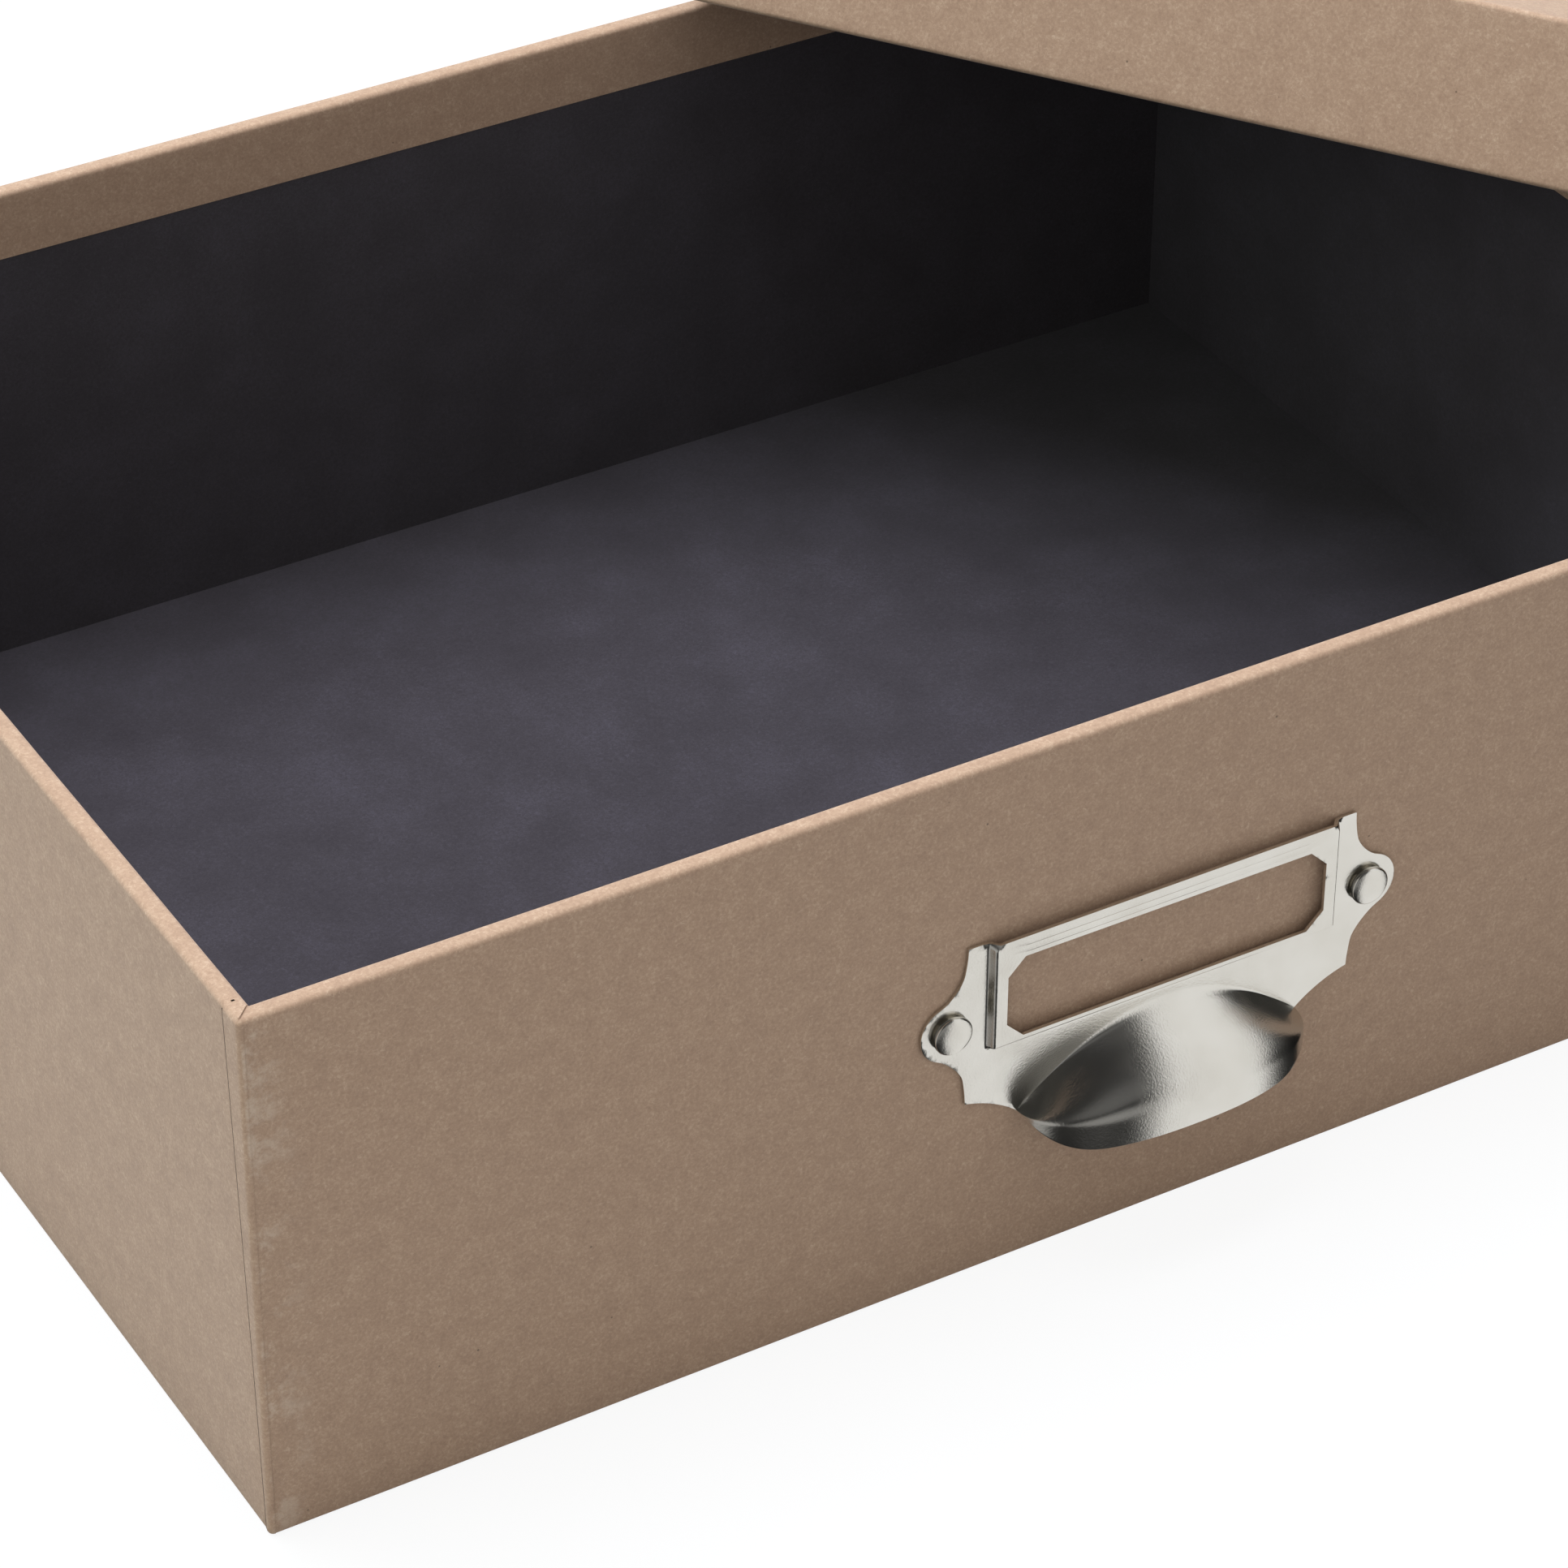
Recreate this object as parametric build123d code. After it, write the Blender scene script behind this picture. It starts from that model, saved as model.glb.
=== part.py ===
from build123d import *

import math
import os

# Rigid paper box: a board tray covered in kraft paper and lined in charcoal paper, a pressed
# metal label holder with a cup pull riveted to its front wall, and a loose lift-off lid that
# leans with one end on the table and the other over the box's back right corner.
# Millimetres, +Z up. The origin is the centre of the underside, +X runs along the front from
# left to right and +Y from the front to the back.

os.makedirs("parts", exist_ok=True)

# --- box --------------------------------------------------------------------------------------
BOX_LENGTH = 307.0
BOX_DEPTH = 231.0
BOX_HEIGHT = 95.0
PAPER = 0.4
WALL_BOARD = 2.5
LINING = 0.4
WALL = PAPER + WALL_BOARD + LINING
BASE_BOARD = 3.0
TURN_IN = 12.5
END_TURN_IN = 7.0
EDGE_ROUND = 0.9
BASE_MARGIN = 1.4
WRAP_LIFT = 0.1
STAY_TAPE = 0.2
STAY_WIDTH = 19.0
FIT_GAP = 0.05

# --- lid --------------------------------------------------------------------------------------
LID_CLEARANCE = 1.4
LID_BOARD = 2.1
LID_WALL = PAPER + LID_BOARD + LINING
LID_HEIGHT = 28.5
LID_WIDTH = BOX_DEPTH + 2 * (LID_CLEARANCE + LID_WALL)
LID_LENGTH = BOX_LENGTH + 2 * (LID_CLEARANCE + LID_WALL)
LID_TURN_IN = 12.5
# Where the loose lid lies: its near left lower corner, the turn of its near edge and its slope.
LID_CORNER = (38.07, 105.68, 103.3)
LID_TURN = -55.33
LID_SLOPE = 19.03

# --- label holder with cup pull: x across, y up the front wall, z out from it -----------------
SHEET = 0.6
RIVET_X = 38.0
RIVET_Y = 48.8
LOBE_RADIUS = 5.2
HORN_X = 35.1
HORN_Y = 63.3
POINT_X = 35.1
POINT_Y = 34.0
NECK_X = 35.6
SCALLOP_MID = (29.4, 31.8)
SCALLOP_END = 0.5
FRAME_X = 30.9
FRAME_BOTTOM = 43.2
FRAME_RAISE = 1.5
FRAME_SLOPE = 0.9
WINDOW_X = 28.9
WINDOW_BOTTOM = 44.8
WINDOW_TOP = 59.7
WINDOW_CORNER = 3.0
BEAD_RADIUS = 0.4
BEAD_X = 27.0
BEAD_LEVELS = (60.75, 62.0)
CUP_X = 25.7
CUP_DEPTH = 12.4
CUP_END = 29.2
CUP_CROWN = 40.6
CUP_LIP = 24.6
CUP_SQUARENESS = 2.45
SECTION_ANGLES = (-84, -72, -54, -29, 0, 29, 54, 72, 84)
OVAL = 0.5523
INNER_FACETS = 7
INNER_ANGLES = (-84, -74, -63, -52, -41, -30, -20, -10, 0, 10, 20, 30, 41, 52, 63, 74, 84)
LIP_FLAT = 0.6
CUP_BLEND = 1.2
CAP_RADIUS = 3.3
CAP_NECK_RADIUS = 2.7
CAP_NECK = 0.7
CAP_EDGE = 0.35
CAP_SHOULDER = 0.55
CAP_SHOULDER_RADIUS = 2.75
CAP_CROWN = 0.4
CAP_CROWN_RADIUS = 1.3
POST_RADIUS = 1.6
POST_END = 0.5
FLANGE_RADIUS = 3.6
FLANGE = 0.5


def panel(x0, x1, y0, y1, z0, z1):
    """A flat board or sheet between two corners."""
    return Pos((x0 + x1) / 2, (y0 + y1) / 2, (z0 + z1) / 2) * Box(x1 - x0, y1 - y0, z1 - z0)


def ring(length, depth, outer, inner, z0, z1):
    """An upright rectangular ring between two insets from a length by depth outline."""
    solid = Pos(0, 0, (z0 + z1) / 2) * Box(length - 2 * outer, depth - 2 * outer, z1 - z0)
    hole = Pos(0, 0, (z0 + z1) / 2) * Box(length - 2 * inner, depth - 2 * inner, z1 - z0 + 1)
    return solid - hole


def corner_stays(length, depth, z0, z1):
    """Four tapes folded round the board corners, one L-shaped solid at each corner."""
    shell = ring(length, depth, PAPER, PAPER + STAY_TAPE, z0, z1)
    reach = STAY_WIDTH * 2
    stays = []
    for side_x in (-1, 1):
        for side_y in (-1, 1):
            at = Pos(side_x * length / 2, side_y * depth / 2, (z0 + z1) / 2)
            stays.append(shell & at * Box(reach, reach, z1 - z0 + 1))
    return stays


def wall_boards(length, depth, board, z0, z1, stays):
    """Front, back, left and right boards, their ends pressed in where the stays lie."""
    x = length / 2 - PAPER
    y = depth / 2 - PAPER
    boards = {
        "front": panel(-x, x, -y, -y + board, z0, z1),
        "back": panel(-x, x, y - board, y, z0, z1),
        "left": panel(-x, -x + board, -y + board, y - board, z0, z1),
        "right": panel(x - board, x, -y + board, y - board, z0, z1),
    }
    for name in boards:
        for stay in stays:
            boards[name] = boards[name] - stay
    return boards


def rim_wrap(length, depth, wall, board, z_low, z_rim, z_turn):
    """Paper over the outside of four walls, over their rim and turned in at the inside."""
    tall = z_rim - z_low
    outside = Pos(0, 0, z_low + tall / 2) * Box(length, depth, tall)
    outside = fillet(outside.edges().filter_by(Axis.Z), EDGE_ROUND)
    inside = Pos(0, 0, z_low + tall / 2) * Box(length - 2 * wall, depth - 2 * wall, tall + 1)
    skin = outside - inside
    skin = fillet(skin.edges().filter_by(Plane.XY).group_by(Axis.Z)[-1], EDGE_ROUND)
    skin = skin - ring(length, depth, PAPER, PAPER + board, z_low - 1, z_rim - PAPER)
    skin = skin - ring(length, depth, PAPER, wall + 1, z_low - 1, z_turn)
    return skin


def cup_form(inset, back, angles, facets):
    """The cup's body at an inset from its outer face: a straight lip under an arched dome.

    Each section across it is a lip line under a quarter oval that bends in to the plate. The
    dome's depth follows a squared ellipse and its height a low arch; back is the rear face. With
    facets the oval is that many flats, otherwise it is smooth."""
    half = CUP_X - inset
    sections = []
    for angle in angles:
        share = math.sin(math.radians(angle))
        deep = (CUP_DEPTH - inset) * (1 - abs(share) ** CUP_SQUARENESS) ** (1 / CUP_SQUARENESS)
        high = (CUP_CROWN - CUP_END - inset) * (1 - share**2)
        across = Plane(origin=(half * share, 0, 0), x_dir=(0, 0, 1), z_dir=(-1, 0, 0))
        under = CUP_LIP - 1
        top = CUP_END + high
        oval = Bezier((deep, CUP_END), (deep, CUP_END + OVAL * high), (OVAL * deep, top), (0, top))
        if facets:
            oval = Polyline(*[oval @ (step / facets) for step in range(facets + 1)])
        outline = Wire([
            Line((deep, under), (deep, CUP_END)),
            *oval.edges(),
            *([Line((0, top), (back, top))] if back else []),
            Line((back, top), (back, under)),
            Line((back, under), (deep, under)),
        ])
        sections.append(across * make_face(outline))
    return loft(sections, ruled=facets > 0)


def lip_trim():
    """What is cut away under the cup's lip, which is level and turns up at both ends."""
    flat = CUP_X * LIP_FLAT
    left = [(-CUP_X, CUP_END), (-CUP_X * 0.93, CUP_LIP + 1.7), (-CUP_X * 0.8, CUP_LIP),
            (-flat, CUP_LIP)]
    right = [(-x, y) for x, y in reversed(left)]
    under = CUP_LIP - 2
    rest = Polyline((CUP_X, CUP_END), (CUP_X, under), (-CUP_X, under), (-CUP_X, CUP_END))
    edge = [Bezier(*left), Line((-flat, CUP_LIP), (flat, CUP_LIP)), Bezier(*right)]
    return extrude(make_face(Wire(edge + list(rest.edges()))), amount=CUP_DEPTH + 1)


def plate_outline():
    """The sheet's flat outline: pointed horns, riveted lobes, lower points and scallops."""
    lobe_top = (RIVET_X + LOBE_RADIUS * math.cos(math.radians(70)),
                RIVET_Y + LOBE_RADIUS * math.sin(math.radians(70)))
    lobe_low = (RIVET_X + LOBE_RADIUS * math.cos(math.radians(-65)),
                RIVET_Y + LOBE_RADIUS * math.sin(math.radians(-65)))
    lobe_out = (RIVET_X + LOBE_RADIUS, RIVET_Y)
    cup_corner = (CUP_X, CUP_END - SCALLOP_END)
    half = [
        Line((0, HORN_Y), (HORN_X, HORN_Y)),
        Spline((HORN_X, HORN_Y), (NECK_X, (HORN_Y + RIVET_Y) / 2 + 2.6), lobe_top,
               tangents=[(0, -1), (1, -0.36)]),
        ThreePointArc(lobe_top, lobe_out, lobe_low),
        Spline(lobe_low, (NECK_X, (POINT_Y + RIVET_Y) / 2 - 2.6), (POINT_X, POINT_Y),
               tangents=[(-1, -0.47), (0, -1)]),
        ThreePointArc((POINT_X, POINT_Y), SCALLOP_MID, cup_corner),
        Line(cup_corner, (0, cup_corner[1])),
        Line((0, cup_corner[1]), (0, HORN_Y)),
    ]
    right = make_face(Wire(half))
    return right + mirror(right, Plane.YZ)


def label_frame():
    """The raised frame: two sloped shoulders, a front sheet, a closed bottom and an open top."""
    foot = FRAME_X + FRAME_SLOPE
    top = FRAME_RAISE + SHEET
    outer = [(-foot - 1, 0), (-foot - 1, SHEET), (-foot, SHEET), (-FRAME_X, top),
             (FRAME_X, top), (foot, SHEET), (foot + 1, SHEET), (foot + 1, 0)]
    inner = [(foot - SHEET, 0), (FRAME_X - SHEET, FRAME_RAISE),
             (-FRAME_X + SHEET, FRAME_RAISE), (-foot + SHEET, 0)]
    section = make_face(Polyline(*outer, *inner, close=True))
    section = fillet(section.vertices().filter_by_position(Axis.X, -foot, foot)
                     .filter_by_position(Axis.Y, 0.1, top), 0.35)
    stand = Plane(origin=(0, HORN_Y, 0), x_dir=(1, 0, 0), z_dir=(0, -1, 0)).location
    body = extrude(stand * section, amount=HORN_Y - FRAME_BOTTOM)
    sole = panel(-FRAME_X, FRAME_X, FRAME_BOTTOM, FRAME_BOTTOM + SHEET, 0, top)
    sole = fillet(sole.edges().filter_by(Axis.X).group_by(Axis.Z)[-1].sort_by(Axis.Y)[0], 0.5)
    return body + sole


def pull_plate():
    """The whole pressed sheet, with its window, beads, rivet holes and hollow cup."""
    plate = extrude(plate_outline(), amount=SHEET)
    well = panel(-FRAME_X - FRAME_SLOPE, FRAME_X + FRAME_SLOPE,
                 FRAME_BOTTOM + SHEET, HORN_Y + 1, -1, SHEET + 1)
    plate = plate - well + label_frame()
    low = WINDOW_BOTTOM
    high = WINDOW_TOP
    opening = Pos(0, (low + high) / 2) * Rectangle(2 * WINDOW_X, high - low)
    opening = chamfer(opening.vertices(), WINDOW_CORNER)
    plate = plate - extrude(opening, amount=FRAME_RAISE + SHEET + 1)
    for level in BEAD_LEVELS:
        rod = Rot(0, 90, 0) * Cylinder(BEAD_RADIUS, 2 * BEAD_X)
        plate = plate + Pos(0, level, FRAME_RAISE + SHEET - BEAD_RADIUS / 3) * rod
    plate = plate + cup_form(0, 0, SECTION_ANGLES, 0)
    plate = plate - cup_form(SHEET, -1, INNER_ANGLES, INNER_FACETS)
    plate = plate - lip_trim()
    arch = plate.edges().filter_by_position(Axis.Y, CUP_END + 2, CUP_CROWN)
    arch = arch.filter_by_position(Axis.Z, SHEET - FIT_GAP, SHEET + FIT_GAP)
    plate = chamfer(arch.sort_by(SortBy.LENGTH)[-1], CUP_BLEND)
    for side in (-1, 1):
        plate = plate - Pos(side * RIVET_X, RIVET_Y, 0) * Cylinder(POST_RADIUS + FIT_GAP, 4)
    return plate


def rivet_cap():
    """A low domed cap on a short neck, hollow for the post's end; its axis is z."""
    cap = Pos(0, 0, CAP_NECK + CAP_EDGE / 2) * Cylinder(CAP_RADIUS, CAP_EDGE)
    shoulder_z = CAP_NECK + CAP_EDGE + CAP_SHOULDER / 2
    cap = cap + Pos(0, 0, shoulder_z) * Cone(CAP_RADIUS, CAP_SHOULDER_RADIUS, CAP_SHOULDER)
    crown_z = CAP_NECK + CAP_EDGE + CAP_SHOULDER + CAP_CROWN / 2
    cap = cap + Pos(0, 0, crown_z) * Cone(CAP_SHOULDER_RADIUS, CAP_CROWN_RADIUS, CAP_CROWN)
    neck = Pos(0, 0, CAP_NECK / 2) * Cylinder(CAP_NECK_RADIUS, CAP_NECK)
    socket = Pos(0, 0, POST_END / 2) * Cylinder(POST_RADIUS + FIT_GAP, POST_END)
    return cap + neck - socket


def rivet_post():
    """A post through the wall with a flat flange against the lining; z is out of the wall."""
    length = SHEET + WALL + POST_END - FIT_GAP
    post = Pos(0, 0, SHEET + POST_END - FIT_GAP - length / 2) * Cylinder(POST_RADIUS, length)
    flange = Pos(0, 0, -WALL - FLANGE / 2) * Cylinder(FLANGE_RADIUS, FLANGE)
    flange = chamfer(flange.edges().group_by(Axis.Z)[0], FLANGE / 2)
    return post + flange


# --- box tray ---------------------------------------------------------------------------------
half_x = BOX_LENGTH / 2
half_y = BOX_DEPTH / 2
floor = PAPER + BASE_BOARD
rim = BOX_HEIGHT - PAPER
wall_face = Plane(origin=(0, -half_y, 0), x_dir=(1, 0, 0), z_dir=(0, -1, 0)).location

stays = corner_stays(BOX_LENGTH, BOX_DEPTH, floor, rim)
boards = wall_boards(BOX_LENGTH, BOX_DEPTH, WALL_BOARD, floor, rim, stays)
base = panel(-half_x + PAPER, half_x - PAPER, -half_y + PAPER, half_y - PAPER, PAPER, floor)
base = chamfer(base.edges().group_by(Axis.Z)[0], BASE_MARGIN - PAPER)
cover = rim_wrap(BOX_LENGTH, BOX_DEPTH, WALL, WALL_BOARD, WRAP_LIFT, BOX_HEIGHT,
                 BOX_HEIGHT - TURN_IN)
base_sheet = panel(-half_x + BASE_MARGIN, half_x - BASE_MARGIN,
                   -half_y + BASE_MARGIN, half_y - BASE_MARGIN, 0, PAPER)
floor_sheet = panel(-half_x + WALL, half_x - WALL, -half_y + WALL, half_y - WALL,
                    floor, floor + LINING)
inner_board = PAPER + WALL_BOARD
wall_sheet = ring(BOX_LENGTH, BOX_DEPTH, inner_board, WALL, floor,
                  BOX_HEIGHT - TURN_IN)
# The lining reaches higher on the two end walls, where the cover is turned in less.
for side in (-1, 1):
    inner = side * (half_x - WALL)
    outer = side * (half_x - inner_board)
    end_sheet = panel(min(inner, outer), max(inner, outer), -half_y + WALL, half_y - WALL,
                      BOX_HEIGHT - TURN_IN, BOX_HEIGHT - END_TURN_IN)
    wall_sheet = wall_sheet + end_sheet
    cover = cover - end_sheet

# --- holes for the rivets ---------------------------------------------------------------------
for side in (-1, 1):
    hole = wall_face * Pos(side * RIVET_X, RIVET_Y, 0) * Cylinder(POST_RADIUS + FIT_GAP, 4 * WALL)
    boards["front"] = boards["front"] - hole
    cover = cover - hole
    wall_sheet = wall_sheet - hole

pull = wall_face * pull_plate()
caps = []
posts = []
for side in (-1, 1):
    caps.append(wall_face * Pos(side * RIVET_X, RIVET_Y, SHEET) * rivet_cap())
    posts.append(wall_face * Pos(side * RIVET_X, RIVET_Y, 0) * rivet_post())

# --- lid, made level about its own centre, then laid in its place -----------------------------
lid_inner = PAPER + LID_BOARD
lid_ceiling = LID_HEIGHT - PAPER - LID_BOARD
lid_stays = corner_stays(LID_WIDTH, LID_LENGTH, PAPER, lid_ceiling)
lid_boards = wall_boards(LID_WIDTH, LID_LENGTH, LID_BOARD, PAPER, lid_ceiling, lid_stays)
lid_top = panel(-LID_WIDTH / 2 + PAPER, LID_WIDTH / 2 - PAPER,
                -LID_LENGTH / 2 + PAPER, LID_LENGTH / 2 - PAPER,
                lid_ceiling, LID_HEIGHT - PAPER)
shell = Pos(0, 0, LID_HEIGHT / 2) * Box(LID_WIDTH, LID_LENGTH, LID_HEIGHT)
shell = fillet(shell.edges().filter_by(Axis.Z) + shell.edges().group_by(Axis.Z)[-1], EDGE_ROUND)
hollow = Pos(0, 0, (lid_ceiling - 1) / 2) * Box(LID_WIDTH - 2 * LID_WALL,
                                                LID_LENGTH - 2 * LID_WALL, lid_ceiling + 1)
lid_cover = shell - hollow
lid_cover = fillet(lid_cover.edges().filter_by(Plane.XY).group_by(Axis.Z)[0], EDGE_ROUND)
lid_cover = lid_cover - ring(LID_WIDTH, LID_LENGTH, PAPER, lid_inner, PAPER, lid_ceiling)
lid_cover = lid_cover - ring(LID_WIDTH, LID_LENGTH, lid_inner, LID_WALL + 1,
                             LID_TURN_IN, lid_ceiling)
lid_cover = lid_cover - panel(-LID_WIDTH / 2 + PAPER, LID_WIDTH / 2 - PAPER,
                              -LID_LENGTH / 2 + PAPER, LID_LENGTH / 2 - PAPER,
                              lid_ceiling, LID_HEIGHT - PAPER)
lid_top_sheet = panel(-LID_WIDTH / 2 + LID_WALL, LID_WIDTH / 2 - LID_WALL,
                      -LID_LENGTH / 2 + LID_WALL, LID_LENGTH / 2 - LID_WALL,
                      lid_ceiling - LINING, lid_ceiling)
lid_wall_sheet = ring(LID_WIDTH, LID_LENGTH, lid_inner, LID_WALL, LID_TURN_IN,
                      lid_ceiling)

turn = math.radians(LID_TURN)
slope = math.radians(LID_SLOPE)
along = Vector(math.cos(turn), math.sin(turn), 0)
away = Vector(-math.sin(turn), math.cos(turn), 0)
lid_up = away * math.sin(slope) + Vector(0, 0, math.cos(slope))
lid_place = (Plane(origin=LID_CORNER, x_dir=along, z_dir=lid_up).location
             * Pos(LID_WIDTH / 2, LID_LENGTH / 2, 0))

# --- nodes ------------------------------------------------------------------------------------
nodes = {
    "base_board": base,
    "front_board": boards["front"],
    "back_board": boards["back"],
    "left_board": boards["left"],
    "right_board": boards["right"],
    "corner_stays": Compound(children=stays),
    "cover_wrap": cover,
    "base_cover": base_sheet,
    "wall_lining": wall_sheet,
    "floor_lining": floor_sheet,
    "pull_plate": pull,
    "rivet_caps": Compound(children=caps),
    "rivet_posts": Compound(children=posts),
    "lid_top_board": lid_place * lid_top,
    "lid_near_board": lid_place * lid_boards["front"],
    "lid_far_board": lid_place * lid_boards["back"],
    "lid_left_board": lid_place * lid_boards["left"],
    "lid_right_board": lid_place * lid_boards["right"],
    "lid_corner_stays": Compound(children=[lid_place * stay for stay in lid_stays]),
    "lid_cover_wrap": lid_place * lid_cover,
    "lid_top_lining": lid_place * lid_top_sheet,
    "lid_skirt_lining": lid_place * lid_wall_sheet,
}
for name, shape in nodes.items():
    export_step(shape, f"parts/{name}.step")
    print(name, len(shape.solids()), round(shape.volume, 1), shape.is_valid)
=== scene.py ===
"""Looks for the kraft file box with its leaning lid and pressed label-holder cup pull."""
import logging
import math
from dataclasses import dataclass, field
from enum import Enum
from typing import ClassVar, Iterable, Sequence

import bmesh
import bpy
from mathutils import Matrix, Vector, noise
from mathutils.geometry import delaunay_2d_cdt

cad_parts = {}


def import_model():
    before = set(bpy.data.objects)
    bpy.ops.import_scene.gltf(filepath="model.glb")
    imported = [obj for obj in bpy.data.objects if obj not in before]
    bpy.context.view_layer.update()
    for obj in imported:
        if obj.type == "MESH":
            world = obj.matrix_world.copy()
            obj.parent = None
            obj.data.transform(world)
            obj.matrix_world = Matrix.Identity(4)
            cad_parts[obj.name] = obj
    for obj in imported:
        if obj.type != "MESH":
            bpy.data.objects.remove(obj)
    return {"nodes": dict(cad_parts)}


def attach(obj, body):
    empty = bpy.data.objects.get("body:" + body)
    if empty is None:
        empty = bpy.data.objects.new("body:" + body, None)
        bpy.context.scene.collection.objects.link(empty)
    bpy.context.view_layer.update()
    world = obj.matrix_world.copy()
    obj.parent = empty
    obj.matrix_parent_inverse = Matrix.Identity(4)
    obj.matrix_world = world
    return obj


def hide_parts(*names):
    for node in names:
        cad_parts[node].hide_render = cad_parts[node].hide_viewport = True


MM = 0.001
LOG = logging.getLogger("file_box")

Flat = tuple[float, float]
Point = tuple[float, float, float]
Face = tuple[int, ...]
Tree = bpy.types.NodeTree
Node = bpy.types.Node
Socket = bpy.types.NodeSocket
Material = bpy.types.Material
Piece = bpy.types.Object


class Slot(Enum):
    """The record's finish slots."""

    KRAFT = "kraft_paper"
    CHARCOAL = "charcoal_paper"
    GREYBOARD = "greyboard"
    TAPE = "stay_tape"
    NICKEL = "nickel_plate"


class Body(Enum):
    """The two things that move apart."""

    BOX = "box"
    LID = "lid"


Slots = dict[Slot, tuple[str, ...]]


# ---------------------------------------------------------------- colours and nodes


def linear(colour: str) -> tuple[float, float, float, float]:
    """Turns an sRGB hex colour to linear.

    Args:
        colour: Six hex digits after a hash.

    Returns:
        Red, green, blue and an alpha of one, in linear light.
    """
    parts = [int(colour[i:i + 2], 16) / 255 for i in (1, 3, 5)]
    levels = [c / 12.92 if c <= 0.04045 else ((c + 0.055) / 1.055) ** 2.4 for c in parts]
    return levels[0], levels[1], levels[2], 1.0


def add_node(
    tree: Tree,
    kind: str,
    sockets: dict[str | int, object] | None = None,
    stops: Sequence[tuple[float, str]] = (),
    **settings: object,
) -> Node:
    """Adds a node with its settings, values and links.

    Args:
        tree: The node tree that takes it.
        kind: Blender's name of the node type.
        sockets: Values, output sockets or, for their first output, nodes, by input name or
            number.
        stops: A ramp's places and sRGB hex colours: first its two ends, then those between.
        settings: The node's own properties.

    Returns:
        The new node.
    """
    node = tree.nodes.new(kind)
    for name, value in settings.items():
        setattr(node, name, value)
    for key, value in (sockets or {}).items():
        if isinstance(value, Node):
            value = next(output for output in value.outputs if output.enabled)
        if isinstance(value, Socket):
            tree.links.new(value, node.inputs[key])
        else:
            node.inputs[key].default_value = value
    for number, (spot, colour) in enumerate(stops):
        elements = node.color_ramp.elements
        stop = elements[number] if number < 2 else elements.new(spot)
        stop.position, stop.color = spot, linear(colour)
    return node


def new_material(name: str) -> tuple[Material, Tree]:
    """Makes an empty node material.

    Args:
        name: The finish's common name.

    Returns:
        The material and its node tree.
    """
    material = bpy.data.materials.new(name)
    material.use_nodes = True
    material.node_tree.nodes.clear()
    return material, material.node_tree


def per_metre(millimetres: float) -> float:
    """The noise scale whose grain is that many millimetres across."""
    return 1 / (millimetres * MM)


# ---------------------------------------------------------------- finishes


@dataclass(frozen=True)
class Finish:
    """A finish: one node material, drawn over the surface's own coordinates."""

    name: str
    bump: float = 0.4
    relief: float = 0.08

    def surface(self, tree: Tree, place: Socket) -> tuple[Node, dict[str, object]]:
        """Draws the finish.

        Args:
            tree: The material's tree.
            place: The surface's own coordinates.

        Returns:
            The height of its grain, and the shader's inputs.
        """
        raise NotImplementedError

    def material(self) -> Material:
        """Builds the material, with the grain as its bump.

        Returns:
            The material.
        """
        material, tree = new_material(self.name)
        place = add_node(tree, "ShaderNodeTexCoord").outputs["Object"]
        height, inputs = self.surface(tree, place)
        bump = add_node(tree, "ShaderNodeBump", {
            "Height": height, "Strength": self.bump, "Distance": self.relief * MM})
        shader = add_node(tree, "ShaderNodeBsdfPrincipled", {**inputs, "Normal": bump})
        add_node(tree, "ShaderNodeOutputMaterial", {"Surface": shader})
        return material


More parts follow.
